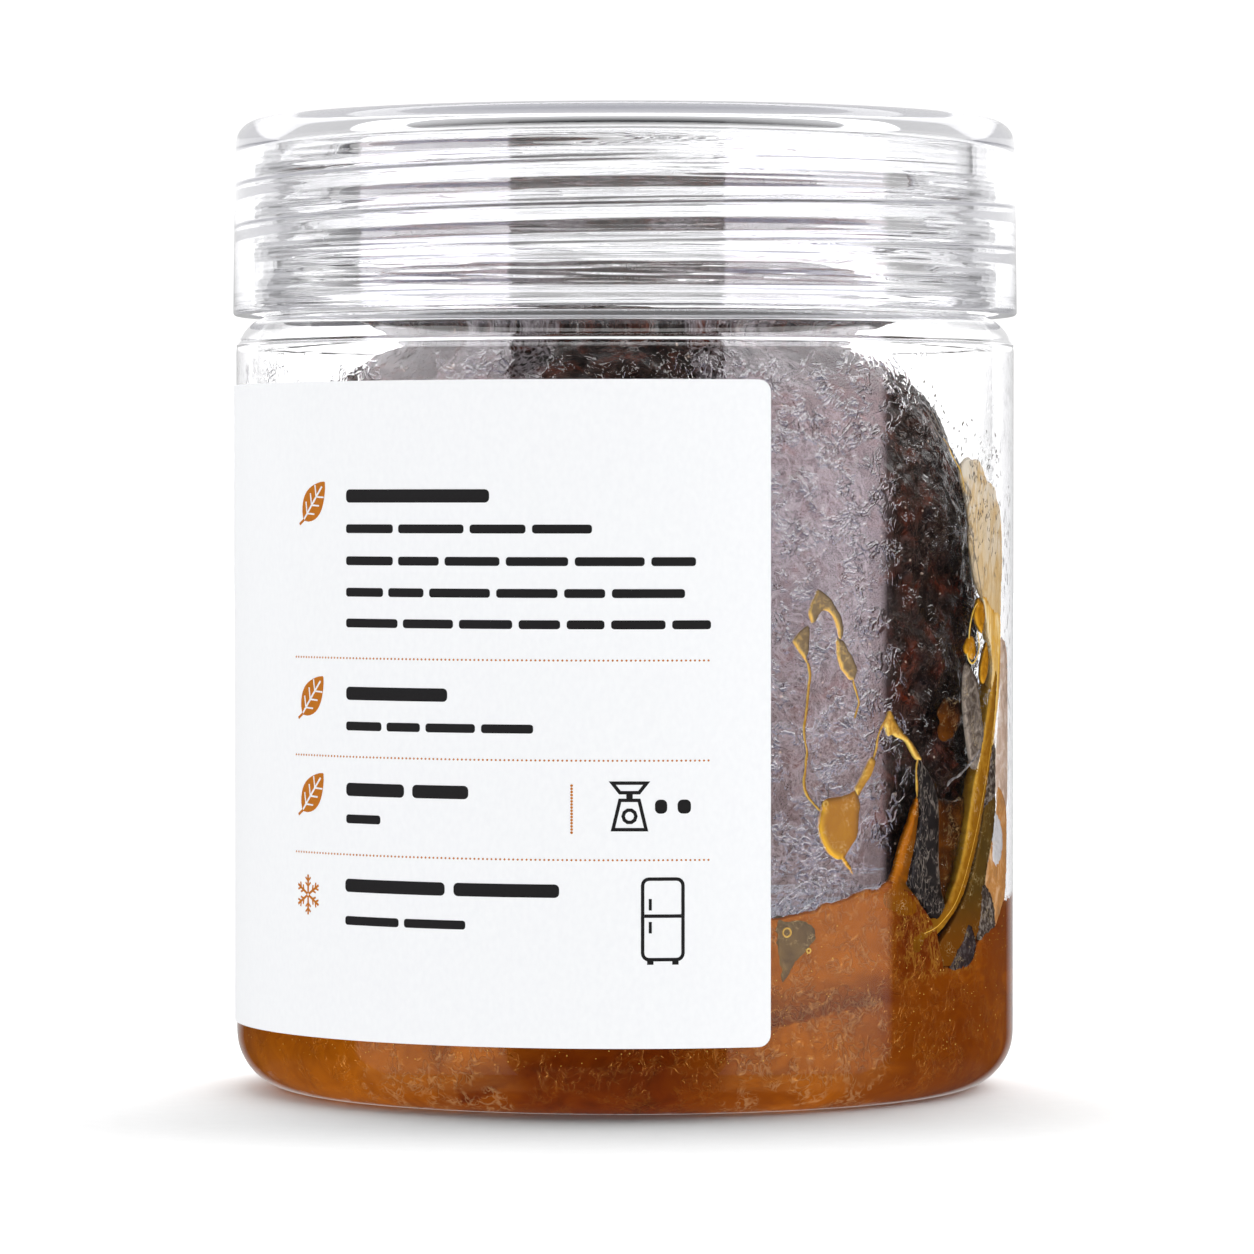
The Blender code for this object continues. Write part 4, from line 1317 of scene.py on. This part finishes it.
def fuller(angle, height):
    """How far the dome's left shoulder swells beyond the plain dome."""
    across = (math.degrees(angle) - SWELL_HEADING) / SWELL_WIDTH
    along = (height - SWELL_HEIGHT) / SWELL_TALL
    return SWELL_DEPTH * math.exp(-(across**2) - along**2)


def crumb_relief(place):
    """Pits and curled ridges of the wet crumb."""
    warp = noise.noise_vector(place / (2.2 * MM)) * (0.5 * MM)
    worms = 1.0 - abs(noise.noise((place + warp) / (1.3 * MM))) * 2.4
    pits = noise.noise(place / (0.9 * MM))
    return (0.24 * worms + 0.14 * pits - 0.1) * MM


def specks(tree, size, radius, share):
    """Small round dots, one on them and nought between, in some of the cells of that size."""
    where = place_of(tree, (1.0 / size,) * 3)
    cells = node(tree, "TexVoronoi", {"Vector": where, "Scale": 1.0, "Randomness": 1.0})
    dots = span(tree, cells.outputs["Distance"], 0.6 * radius, radius, 1.0, 0.0)
    pick = node(tree, "SeparateXYZ", {0: cells.outputs["Color"]}).outputs["X"]
    return product(tree, dots, maths(tree, "LESS_THAN", pick, share))


def mirrored_boxes(tree, azimuth):
    """One where an azimuth in radians lies in one of the two softboxes, nought elsewhere."""
    return greatest(tree, box_across(tree, azimuth, *BOX_LEFT), box_across(tree, azimuth, *BOX_RIGHT))


def azimuth_of(tree, parts):
    return maths(tree, "ARCTAN2", parts["X"], product(tree, parts["Y"], -1.0))


def mist(tree):
    """One where the wall in front mirrors a softbox, nought elsewhere; it marks where colours carry a
    painted reflection of the box.
    """
    return mirrored_boxes(tree, product(tree, azimuth_of(tree, axes_of(tree)), 2.0))


def crumb_material():
    """Near black, with reddish fruit, greyish wet patches, fine pale curls of painted highlight, paler as
    painted reflection where the wall mirrors a softbox, and specks of painted glint.
    """
    material, tree = new_material("date_crumb")
    patches = clouds(tree, 2.6 * MM, detail=4.0, roughness=0.55, warp=0.8)
    colour = ramp(tree, patches, *CRUMB_TONES)
    grey = clouds(tree, 3.4 * MM, detail=3.0, warp=1.0)
    colour = mixed(tree, span(tree, grey, 0.50, 0.66, 0.0, 0.5), colour, CRUMB_VEIL)
    # Painted highlights: pale curls on the crumb, paler still as painted reflection where the wall in front
    # mirrors a softbox
    curl = curls(tree, 1.2 * MM, 0.06, broken=0.44)
    fine = curls(tree, 0.75 * MM, 0.08, broken=0.47, stretch=(1.0, 1.0, 0.8))
    lines = greatest(tree, curl, product(tree, fine, 0.75))
    misted = mist(tree)
    share = product(tree, lines, span(tree, misted, 0.0, 1.0, 0.2, 0.75))
    colour = mixed(tree, share, colour, mixed(tree, misted, *CRUMB_CURL_HIGHLIGHTS))
    # Painted glints: small pale specks on the crumb
    dots = product(tree, specks(tree, 1.0 * MM, 0.13, 0.5), 0.8)
    colour = mixed(tree, dots, colour, CRUMB_GLINT_SPECKS)
    ripples = clouds(tree, 1.3 * MM, detail=3.0, warp=1.0)
    relief = maths(tree, "ADD", ripples, product(tree, curl, 0.3))
    roughness = span(tree, ripples, 0.3, 0.7, 0.2, 0.12)
    return coated(material, colour, roughness, 0.3, CRUMB_TINT, relief, 0.35 * MM)


def make_pudding():
    grid = pudding_grid(pudding_profile(PUDDING_ROW), PUDDING_SEGMENTS)
    points = [grid[0][0], grid[-1][0]]
    for ring in grid[1:-1]:
        points += ring
    faces = capped_faces(len(grid) - 2, PUDDING_SEGMENTS)
    add_object("pudding", points, faces, crumb_material(), "date_pudding")


# Sauce


def through(knots, place):
    """The value at a place on the broken line through (place, value) knots."""
    places, values = zip(*knots)
    return float(np.interp(place, places, values))


def level(azimuth):
    """The sauce's height at the wall."""
    azimuth = (azimuth + 180.0) % 360.0 - 180.0
    return through(SAUCE_LEVELS + ((180, SAUCE_LEVELS[0][1]),), azimuth) * MM


def glow(azimuth, height):
    """How brightly the sauce shows its amber, as a painted glow of light through it, and how fibrous it
    looks, each from 0 to 1.
    """
    azimuth = (azimuth + 180.0) % 360.0 - 180.0
    z = height / MM
    foot = through(CAKE_FOOT, azimuth)
    foot += 0.25 * noise.noise(Vector((azimuth / 2.0, 4.0, 0.0)))
    bright = through(FOOT_GLOW, azimuth)
    fibrous = float(smooth((azimuth - 41.0) / 4.0) * smooth((66.0 - azimuth) / 6.0))
    fibrous *= float(smooth((z - foot - 0.4) / 1.5))
    if z < foot or foot < 1.0:
        return bright, 0.0
    above = float(smooth((z - foot) / FOOT_SHADE))
    low = 0.30 + 0.34 * float(smooth((azimuth - 39.0) / 6.0))
    upper = 0.84 - 0.5 * fibrous - 0.3 * float(smooth((azimuth - 62.0) / 6.0))
    return low + (upper - low) * above, fibrous


def sauce_material():
    material, tree = new_material("toffee")
    # The painted glow: light through the sauce, set as its colour from dark to glowing
    amount = stored(tree, "glow")
    fibrous = stored(tree, "fibrous")
    swirl = clouds(tree, 4.0 * MM, detail=5.0, roughness=0.6, stretch=(1.0, 1.0, 1.5), warp=1.2)
    amount = maths(tree, "ADD", amount, span(tree, swirl, 0.3, 0.7, -0.13, 0.13))
    colour = ramp(tree, amount, *SAUCE_TONES)
    worms = curls(tree, 1.0 * MM, 0.05, broken=0.5)
    fine = curls(tree, 0.75 * MM, 0.06, broken=0.46, stretch=(1.2, 1.2, 0.6))
    fine = product(tree, fine, fibrous, 0.5)
    # Painted reflection: where the wall in front mirrors a softbox, the curls grow stronger and paler
    misted = mist(tree)
    share = greatest(tree, product(tree, worms, span(tree, misted, 0.0, 1.0, 0.08, 0.25)), fine)
    colour = mixed(tree, share, colour, mixed(tree, misted, *SAUCE_CURLS_AND_REFLECTION))
    roughness = span(tree, worms, 0.0, 1.0, 0.14, 0.1)
    return coated(material, colour, roughness, 0.36, SAUCE_TINT, worms, 0.03 * MM)


def set_attribute(obj, name, values):
    attribute = obj.data.attributes.new(name, "FLOAT", "POINT")
    attribute.data.foreach_set("value", np.array(values, dtype=np.float32))


def make_pool():
    """The pool between wall and pudding, from the floor up to its ragged upper edge."""
    segments = POOL_SEGMENTS
    rows = POOL_ROWS
    wall = CLING
    heel_centre = (JAR_RADIUS - HEEL_RADIUS, HEEL_RADIUS)
    floor_radii = (0.0, 8.0 * MM, 16.0 * MM, FOOT_RING_INNER)
    outer = [(r, floor_height(r, WALL - HEEL_GRIP)) for r in floor_radii]
    for i in range(17):
        angle = -90.0 + 90.0 * i / 16.0
        grip = HEEL_GRIP + (SAUCE_GRIP - HEEL_GRIP) * float(smooth(i / 16.0))
        outer += arc(heel_centre, HEEL_RADIUS - WALL + grip, angle, angle, 1)[:1]
    grid = []
    for j in range(segments):
        azimuth = j * 360.0 / segments
        ragged = noise.noise(Vector((azimuth / 1.6, 0.0, 1.7))) * 0.3
        ragged += noise.noise(Vector((azimuth / 5.0, 3.0, 1.7))) * 0.3
        top = level(azimuth) + ragged * MM
        column = list(outer[1:])
        for i in range(1, rows + 1):
            column.append((wall, HEEL_RADIUS + (top - HEEL_RADIUS) * i / rows))
        column += [(wall - inset * MM, top - drop * MM) for inset, drop in POOL_EDGE]
        column.append((PUDDING_RADIUS - 1.5 * MM, top - 0.6 * MM))
        column.append((PUDDING_RADIUS * 0.5, max(top - 6.0 * MM, 8.0 * MM)))
        grid.append(column)
    places = np.array(grid).transpose(1, 0, 2)
    angles = heading(np.arange(segments) * 360.0 / segments)[None, :]
    radii, heights = places[..., 0], places[..., 1]
    xyz = np.stack([radii * np.cos(angles), radii * np.sin(angles), heights], axis=-1)
    points = [(0.0, 0.0, outer[0][1]), (0.0, 0.0, 8.0 * MM)]
    points += xyz.reshape(-1, 3).tolist()
    faces = capped_faces(len(places), segments)
    pool = add_object("sauce_pool", points, faces, sauce_material(), "toffee_sauce")
    looks = [glow(math.degrees(math.atan2(x, -y)), z) for x, y, z in points]
    set_attribute(pool, "glow", [bright for bright, _ in looks])
    set_attribute(pool, "fibrous", [fibrous for _, fibrous in looks])


def eased(points, steps, closed=False):
    """Points of a Catmull-Rom curve through the given ones."""
    places = [np.array(p, dtype=float) for p in points]
    if closed:
        padded = [places[-1]] + places + places[:2]
    else:
        padded = [places[0]] + places + [places[-1]]
    curve = []
    for i in range(1, len(padded) - 2):
        a, b, c, d = padded[i - 1 : i + 3]
        for k in range(steps):
            t = k / steps
            bend = (2.0 * a - 5.0 * b + 4.0 * c - d) * t**2
            twist = (3.0 * b - a - 3.0 * c + d) * t**3
            curve.append(0.5 * (2.0 * b + (c - a) * t + bend + twist))
    return curve if closed else curve + [places[-1]]


def enclosed(places, loop):
    """Which of the flat places lie inside a closed loop of flat points."""
    inside = np.zeros(len(places), dtype=bool)
    x, z = places[:, 0], places[:, 1]
    for a, b in zip(loop, np.roll(loop, -1, axis=0)):
        if a[1] != b[1]:
            crosses = (a[1] > z) != (b[1] > z)
            inside ^= crosses & (x < (b[0] - a[0]) * (z - a[1]) / (b[1] - a[1]) + a[0])
    return inside


def sheet(outline, thickness, rim, step=0.3, ragged=0.05, close=0.0, spread=None, root=None):
    """A sheet of sauce that clings to the inside of the wall, as a closed slab.

    The outline is (azimuth, height in mm) round its edge, and the sheet swells from a
    thin edge to its thickness, in mm, over the width of its rim. It grows out of the
    pool between the two heights of its root. Returns its points and faces, how far each
    point's edge faces the light, from -1 to 1, and how far it is clear of its root.
    """
    flat = [(math.radians(a) * CLING / MM, z) for a, z in outline]
    loop = []
    for place in eased(flat, 5, closed=True):
        shift = noise.noise_vector(Vector((place[0], place[1], 0.0)) / 0.8)
        loop.append(place + ragged * np.array(shift[:2]))
    loop = np.array(loop)
    low = loop.min(axis=0)
    high = loop.max(axis=0)
    across = np.arange(low[0], high[0], step)
    along = np.arange(low[1], high[1], step)
    field = np.stack(np.meshgrid(across, along), axis=-1).reshape(-1, 2)
    field += 0.2 * step * np.sin(field[:, ::-1] * 37.0)
    field = field[enclosed(field, loop)]
    if len(field):
        nearest = np.linalg.norm(field[:, None, :] - loop[None, :, :], axis=2).min(axis=1)
        field = field[nearest > 0.35 * step]
    count = len(loop)
    seeds = [Vector(place) for place in np.concatenate([loop, field]).tolist()]
    edges = [(i, (i + 1) % count) for i in range(count)]
    places, _, faces, _, _, _ = geometry.delaunay_2d_cdt(seeds, edges, [], 1, 1e-5)
    places = np.array([tuple(place) for place in places])
    offsets = loop[None, :, :] - places[:, None, :]
    distances = np.linalg.norm(offsets, axis=2)
    closest = distances.argmin(axis=1)
    picked = np.arange(len(places))
    distance = distances[picked, closest]
    normal_way = np.roll(loop, -1, axis=0) - np.roll(loop, 1, axis=0)
    normal_way /= np.linalg.norm(normal_way, axis=1, keepdims=True)
    outward = np.stack([normal_way[:, 1], -normal_way[:, 0]], axis=-1)
    x, z = loop[:, 0], loop[:, 1]
    area = 0.5 * np.sum(x * np.roll(z, -1) - np.roll(x, -1) * z)
    outward *= math.copysign(1.0, area)
    lit = outward[closest] @ LIT_FROM * np.exp(-((distance / (spread or rim)) ** 2))
    swell = np.sqrt(np.clip(distance / rim, 0.0, 1.0))
    clear = np.ones(len(places))
    if root:
        clear = smooth((places[:, 1] - root[0]) / (root[1] - root[0]))
        lit = lit * clear
        swell = 1.0 - (1.0 - swell) * clear
    outer_skin = CLING - close * MM - 0.16 * MM * (1.0 - swell) ** 2
    inner_skin = CLING - close * MM - 0.17 * MM - thickness * MM * swell
    points = []
    for skin in (outer_skin, inner_skin):
        for (x, z), radius in zip(places.tolist(), skin.tolist()):
            points.append(around(radius, math.degrees(x * MM / CLING), z * MM))
    depth = len(places)
    uses = {}
    for face in faces:
        for a, b in zip(face, list(face[1:]) + [face[0]]):
            uses[(a, b)] = True
    solid = [tuple(face) for face in faces]
    solid += [tuple(depth + k for k in face[::-1]) for face in faces]
    solid += [(b, a, depth + a, depth + b) for a, b in uses if (b, a) not in uses]
    return points, solid, np.tile(lit, 2).tolist(), np.tile(clear, 2).tolist()


def make_sheets(name, outlines, material, **shape):
    """Several sheets as one piece."""
    points, faces, lit, clear = [], [], [], []
    for outline in outlines:
        more_points, more_faces, more_lit, more_clear = sheet(outline, **shape)
        base = len(points)
        points += more_points
        lit += more_lit
        clear += more_clear
        faces += [tuple(base + k for k in face) for face in more_faces]
    obj = add_object(name, points, faces, material, "toffee_sauce")
    set_attribute(obj, "lit", lit)
    set_attribute(obj, "clear", clear)


def strand_rings(path, half, steps=4, sides=8):
    """Rings of a thin thread of sauce that clings to the inside of the wall.

    The path is (azimuth, height in mm), and half is half its width in mm. Also returns
    how far each point faces the light, from -1 to 1.
    """
    curve = eased([(math.radians(a) * CLING, z * MM) for a, z in path], steps)
    rings = []
    lit = []
    for i, (x, z) in enumerate(curve):
        before = curve[max(0, i - 1)]
        after = curve[min(len(curve) - 1, i + 1)]
        along = Vector((after[0] - before[0], after[1] - before[1])).normalized()
        wide = half * MM * (1.0 + 0.5 * noise.noise(Vector((x, z, half)) / (0.9 * MM)))
        wide *= min(1.0, 0.35 + 0.4 * min(i, len(curve) - 1 - i))
        for k in range(sides):
            turn = 2.0 * math.pi * k / sides
            side = wide * math.cos(turn)
            radius = CLING + 0.01 * MM + 0.9 * wide * (math.sin(turn) - 1.0)
            azimuth = math.degrees((x - along.y * side) / CLING)
            rings.append(around(radius, azimuth, z + along.x * side))
            lit.append(math.cos(turn) * (-along.y * LIT_FROM[0] + along.x * LIT_FROM[1]))
    return rings, lit, len(curve), sides


def make_strands(name, paths, material):
    """Several strands, each (half width in mm, path), as one piece closed at its ends."""
    points, faces, lit = [], [], []
    for half, path in paths:
        rings, lit_of, rows, sides = strand_rings(path, half)
        base = len(points)
        points += rings
        lit += lit_of
        faces += grid_faces(rows, sides, offset=base)
        for first in (base, base + (rows - 1) * sides):
            faces.append(tuple(first + k for k in range(sides)))
    obj = add_object(name, points, faces, material, "toffee_sauce")
    set_attribute(obj, "lit", lit)


def coat_material(name):
    """Sauce in a thin coat: bright where its edge faces the light, dark where it turns away."""
    dark, base, bright, marks, mark_size = COATS[name]
    stretch, vein = VEINED.get(name, ((1.0, 1.0, 1.0), None))
    material, tree = new_material(name)
    mottle = clouds(tree, mark_size * MM, detail=3.0, roughness=0.6, stretch=stretch, warp=0.8)
    level_of = maths(tree, "ADD", stored(tree, "lit"), span(tree, mottle, 0.3, 0.7, -marks, marks))
    darker, brighter = (tuple(0.5 * (a + b) for a, b in zip(base, other)) for other in (dark, bright))
    stops = ((0.08, dark), (0.3, darker), (0.5, base), (0.72, brighter), (0.88, bright))
    colour = ramp(tree, span(tree, level_of, -1.0, 1.0, 0.0, 1.0), *stops)
    if name in ROOTED:
        colour = mixed(tree, stored(tree, "clear"), ROOTED[name], colour)
    if vein:
        lines = curls(tree, 1.0 * MM, 0.05, broken=0.36, stretch=(1.0, 1.0, 0.28), warp=0.6)
        colour = mixed(tree, product(tree, lines, 0.8), colour, vein)
    glints = curls(tree, 0.7 * MM, 0.02, broken=0.56)
    colour = mixed(tree, product(tree, glints, 0.35), colour, COAT_GLINT)
    roughness = span(tree, mottle, 0.3, 0.7, 0.12, 0.25)
    return coated(material, colour, roughness, 0.12, COAT_TINT, mottle, 0.05 * MM)


def membrane_material():
    """A dark skin with short pale glints across it."""
    material, tree = new_material("sauce_membrane")
    fibres = curls(tree, 0.5 * MM, 0.03, broken=0.47, stretch=(1.5, 1.5, 0.5), warp=0.5)
    colour = ramp(tree, fibres, (0.0, (0.006, 0.003, 0.002)), (1.0, (0.30, 0.25, 0.21)))
    roughness = span(tree, fibres, 0.0, 1.0, 0.4, 0.15)
    return coated(material, colour, roughness, 0.15, relief=fibres, depth=0.06 * MM)


def film_material():
    """A nearly clear cream film, golden further down, with tan veins that run down it."""
    material, tree = new_material("toffee_film")
    where = axes_of(tree)
    low = span(tree, where["Z"], 38.0 * MM, 49.0 * MM, 1.0, 0.0)
    colour = mixed(tree, low, FILM_CREAM, FILM_GOLD)
    patches = clouds(tree, 1.6 * MM, detail=3.0, stretch=(1.0, 1.0, 0.4), warp=0.6)
    patches = span(tree, patches, 0.45, 0.65, 0.0, 0.7)
    colour = mixed(tree, patches, colour, FILM_GOLD)
    veins = curls(tree, 1.4 * MM, 0.05, broken=0.42, stretch=(1.0, 1.0, 0.35), warp=0.5)
    colour = mixed(tree, product(tree, veins, 0.75), colour, FILM_VEINS)
    left = span(tree, where["Y"], -14.5 * MM, -12.0 * MM, 0.85, 0.1)
    dashes = curls(tree, 0.8 * MM, 0.055, broken=0.55, stretch=(1.0, 1.0, 0.45))
    colour = mixed(tree, product(tree, dashes, left), colour, FILM_DASHES)
    roughness = span(tree, patches, 0.0, 0.7, 0.12, 0.25)
    return coated(material, colour, roughness, 0.15, relief=veins, depth=0.05 * MM)


def make_clinging_sauce():
    coats = {name: coat_material(name) for name in COATS}
    coats["sauce_membrane"] = membrane_material()
    coats["toffee_film"] = film_material()
    for name, outlines, coat, thickness, rim, more in SHEETS:
        make_sheets(name, outlines, coats[coat], thickness=thickness, rim=rim, **more)
    for name, paths, coat in STRANDS:
        make_strands(name, paths, coats[coat])
    make_beads(coats["wet_dark"])
    make_bubble_glints(coats["toffee_gold"])


def make_beads(material):
    """Small beads of moisture that have run down the wall beside the pudding."""
    draw = random.Random(33)
    beads = []
    for azimuth, height in BEADS:
        long = draw.uniform(0.08, 0.3)
        beads.append((draw.uniform(0.04, 0.08), azimuth, height, long))
    for _ in range(FILM_BEADS):
        azimuth = draw.triangular(54.0, 75.0, 70.0)
        height = draw.triangular(41.0, 54.5, 51.5)
        beads.append((draw.uniform(0.025, 0.05), azimuth, height, draw.uniform(0.08, 0.5)))
    for _ in range(SIDE_BEADS):
        azimuth = draw.uniform(76.0, 82.0)
        height = draw.uniform(26.0, 50.0)
        beads.append((0.035, azimuth, height, draw.uniform(0.2, 0.8)))
    strands = []
    for half, azimuth, height, long in beads:
        lean = draw.uniform(-0.3, 0.3)
        path = [(azimuth - side * lean, height + 0.5 * side * long) for side in (1, 0, -1)]
        strands.append((half, path))
    make_strands("beads", strands, material)


def make_bubble_glints(material):
    """Painted rings of light round bubbles, and painted specks of light, at the wall."""
    points, faces = [], []
    for azimuth, height, radius in BUBBLES:
        base = len(points)
        for i in range(RING_SIDES):
            turn = 2.0 * math.pi * i / RING_SIDES
            for k in range(RING_FOLDS):
                fold = 2.0 * math.pi * k / RING_FOLDS
                reach = (radius + 0.08 * math.cos(fold)) * MM
                place = math.degrees(reach * math.cos(turn) / CLING) + azimuth
                skin = CLING + (0.02 + 0.05 * math.sin(fold)) * MM
                points.append(around(skin, place, height * MM + reach * math.sin(turn)))
        for i in range(RING_SIDES):
            here, after = (base + k % RING_SIDES * RING_FOLDS for k in (i, i + 1))
            for k in range(RING_FOLDS):
                above = (k + 1) % RING_FOLDS
                faces.append((here + k, here + above, after + above, after + k))
    draw = random.Random(21)
    heel = HEEL_RADIUS / MM
    for _ in range(SPECKS):
        azimuth = draw.uniform(-80.0, 78.0)
        top = level(azimuth) / MM
        height = draw.uniform(1.6, top if azimuth > 18.0 else 8.0)
        reach = draw.uniform(0.03, 0.075)
        radius = CLING
        if height < heel:
            drop_angle = math.asin((heel - height) / (heel - SPECK_SUNK))
            radius = JAR_RADIUS - HEEL_RADIUS + (HEEL_RADIUS - SPECK_SUNK * MM) * math.cos(drop_angle)
        centre = around(radius, azimuth, height * MM)
        base = len(points)
        points += [centre + Vector(corner) * reach * MM for corner in OCTAHEDRON]
        faces += [(base + a, base + b, base + c) for a, b, c in OCTAHEDRON_FACES]
    obj = add_object("bubble_glints", points, faces, material, "toffee_sauce")
    set_attribute(obj, "lit", [0.35] * len(points))


# Stage, lamps and camera


def hide_from(obj, *rays):
    for kind in rays:
        setattr(obj, "visible_" + kind, False)


def softbox(name, azimuth, half_angle, bottom, top, radiance):
    """A tall soft lamp at an azimuth, as wide as it looks from the jar, for what is matt."""
    width = 2.0 * LAMP_DISTANCE * math.tan(math.radians(half_angle))
    height = top - bottom
    lamp = bpy.data.lights.new(name, "AREA")
    lamp.shape = "RECTANGLE"
    lamp.size = width
    lamp.size_y = height
    lamp.energy = radiance * math.pi * width * height
    obj = bpy.data.objects.new(name, lamp)
    obj.location = around(LAMP_DISTANCE, azimuth, 0.5 * (top + bottom))
    obj.rotation_euler = (math.radians(90.0), 0.0, math.radians(azimuth))
    hide_from(obj, "camera", "glossy", "transmission")
    bpy.context.scene.collection.objects.link(obj)


def box_across(tree, azimuth, low, high, soft_low, soft_high):
    """One where an azimuth lies between two others in degrees, with soft edges."""
    low, high, soft_low, soft_high = np.radians((low, high, soft_low, soft_high)).tolist()
    start = span(tree, azimuth, low - soft_low, low + soft_low, 0.0, 1.0)
    end = span(tree, azimuth, high - soft_high, high + soft_high, 1.0, 0.0)
    return product(tree, start, end)


def box_look(tree, upward):
    """The colour of the mirrored softboxes by the upward part of a direction."""
    low, high = BOX_LOOK[0][0], BOX_LOOK[-1][0]
    stops = [((z - low) / (high - low), tuple(c / BOX_SCALE for c in look)) for z, look in BOX_LOOK]
    return ramp(tree, span(tree, upward, low, high, 0.0, 1.0), *stops)


def make_world():
    """A white room with two tall softboxes in front, each ray kind seeing its share.

    The walls mirror the boxes: dimly in the outer surface and strongly in the inner one.
    """
    world = bpy.data.worlds.new("studio")
    world.use_nodes = True
    tree = world.node_tree
    parts = node(tree, "SeparateXYZ", {0: node(tree, "TexCoord").outputs["Generated"]}).outputs
    deep, up = parts["Y"], parts["Z"]
    rays = node(tree, "LightPath").outputs
    walls = rays["Transmission Depth"]
    shallow = maths(tree, "LESS_THAN", walls, PAST_WALLS)
    beyond = maths(tree, "GREATER_THAN", walls, PAST_WALLS)
    within = maths(tree, "GREATER_THAN", walls, IN_WALL)
    share = greatest(
        tree,
        product(tree, maths(tree, "LESS_THAN", walls, IN_WALL), BOX_OUTER),
        product(tree, beyond, BOX_DEEP),
        product(tree, within, shallow),
    )
    sides = mirrored_boxes(tree, azimuth_of(tree, parts))
    boxes = product(tree, sides, band(tree, up, *BOX_FOOT, *BOX_TOP, 1.0), share, BOX_SCALE)
    boxes = node(tree, "VectorMath", {0: box_look(tree, up), 1: boxes}, operation="MULTIPLY").outputs[0]
    beside = product(
        tree,
        span(tree, deep, 0.0, 0.4, 0.0, 0.8),
        span(tree, up, 0.02, 0.04, 0.0, 1.0),
        span(tree, walls, 2.0, 3.0, 1.0, BESIDE_DEEP),
    )
    room = product(
        tree,
        span(tree, up, 0.036, 0.046, 0.02, ROOM_HIGH),
        span(tree, up, 0.08, 0.14, 1.0, 0.1),
        span(tree, walls, 1.0, 2.0, 1.0, 0.1),
    )
    mirrored = greatest(
        tree,
        span(tree, deep, 0.90, 0.97, 0.0, BEHIND),
        beside,
        room,
        product(tree, band(tree, up, *OVERHEAD), shallow),
        product(tree, span(tree, deep, 0.4, 0.5, 1.0, 0.0), band(tree, up, *SPARKLE), shallow, within),
        product(tree, band(tree, up, *GLEAM), beyond),
        span(tree, up, -0.35, -0.25, FLOOR_GLOW, 0.0),
    )
    mirrored = node(tree, "VectorMath", {0: boxes, 1: mirrored}, operation="MAXIMUM").outputs[0]
    front = span(tree, up, 0.05, 0.25, AMBIENT_FRONT, AMBIENT_OVER)
    right = span(tree, parts["X"], 0.45, 0.8, 1.0, 1.15)
    left = span(tree, parts["X"], -0.8, -0.3, 0.6, 1.0)
    back = product(tree, span(tree, up, 0.35, 0.5, AMBIENT_LOW, AMBIENT_BACK), right, left)
    ambient = mixed(tree, span(tree, deep, 0.0, 0.35, 0.0, 1.0), front, back)
    level_look = product(
        tree,
        span(tree, up, 0.30, 0.75, BACKDROP, 0.6),
        span(tree, up, -0.3, -0.08, 0.35, 1.0),
        span(tree, deep, 0.5, 0.95, BACKDROP_SIDE, 1.0),
    )
    away = product(tree, maths(tree, "GREATER_THAN", deep, AWAY), 2.0)
    turns = maths(tree, "SUBTRACT", rays["Glossy Depth"], away)
    through = product(tree, rays["Is Transmission Ray"], maths(tree, "LESS_THAN", turns, 0.5))
    caught = maths(tree, "GREATER_THAN", rays["Glossy Depth"], CAUGHT_BOUNCES)
    inside = mixed(tree, caught, mirrored, (0.9, 0.9, 0.9))
    seen = mixed(tree, through, inside, level_look)
    lit = mixed(tree, rays["Is Diffuse Ray"], seen, ambient)
    value = mixed(tree, rays["Is Camera Ray"], lit, (1.1, 1.1, 1.1))
    fill(tree, tree.nodes["Background"], {"Color": value})
    world.cycles.sampling_method = "NONE"
    bpy.context.scene.world = world


def make_stage():
    mesh = bpy.data.meshes.new("floor")
    corners = [(x * FLOOR_HALF, y * FLOOR_HALF, 0.0) for x, y in ((-1, -1), (1, -1), (1, 1), (-1, 1))]
    mesh.from_pydata(corners, [], [(0, 1, 2, 3)])
    floor = bpy.data.objects.new("floor", mesh)
    bpy.context.scene.collection.objects.link(floor)
    material, tree = new_material("floor_paper")
    grain = clouds(tree, 2.0 * MM, detail=3.0)
    tone = ramp(tree, grain, (0.3, (0.93, 0.93, 0.93)), (0.7, (0.95, 0.95, 0.95)))
    where = node(tree, "TexCoord").outputs["Object"]
    distance = node(tree, "VectorMath", {0: where}, operation="LENGTH")
    # Painted shade: the floor's colour darkens towards the jar
    near = span(tree, distance.outputs["Value"], 0.10, 0.32, FLOOR_NEAR, 1.0)
    tone = node(tree, "VectorMath", {0: tone, 1: near}, operation="MULTIPLY").outputs[0]
    mesh.materials.append(coated(material, tone, 0.9, 0.0))
    hide_from(floor, "glossy", "transmission", "diffuse")
    softbox("fill_left", -57.5, 23.5, 0.0, FILL_TOP, FILL_LEFT)
    softbox("fill_right", 55.5, 26.5, 0.0, FILL_TOP, FILL_RIGHT)
    make_world()


def make_camera():
    lens = bpy.data.cameras.new("camera")
    lens.lens = CAMERA_LENS
    lens.sensor_width = SENSOR_WIDTH
    lens.clip_start = CLIP_START
    camera = bpy.data.objects.new("camera", lens)
    camera.location = (0.0, -CAMERA_DISTANCE, CAMERA_HEIGHT)
    camera.rotation_euler = (math.radians(90.0 - CAMERA_DOWN), 0.0, math.radians(CAMERA_YAW))
    bpy.context.scene.collection.objects.link(camera)
    bpy.context.scene.camera = camera


def set_look():
    scene = bpy.context.scene
    scene.view_settings.view_transform = "Standard"
    for kind, count in BOUNCES.items():
        setattr(scene.cycles, kind, count)


make_camera()
make_stage()
make_jar_and_lid()
make_label()
make_print()
make_pudding()
make_pool()
make_clinging_sauce()
set_look()
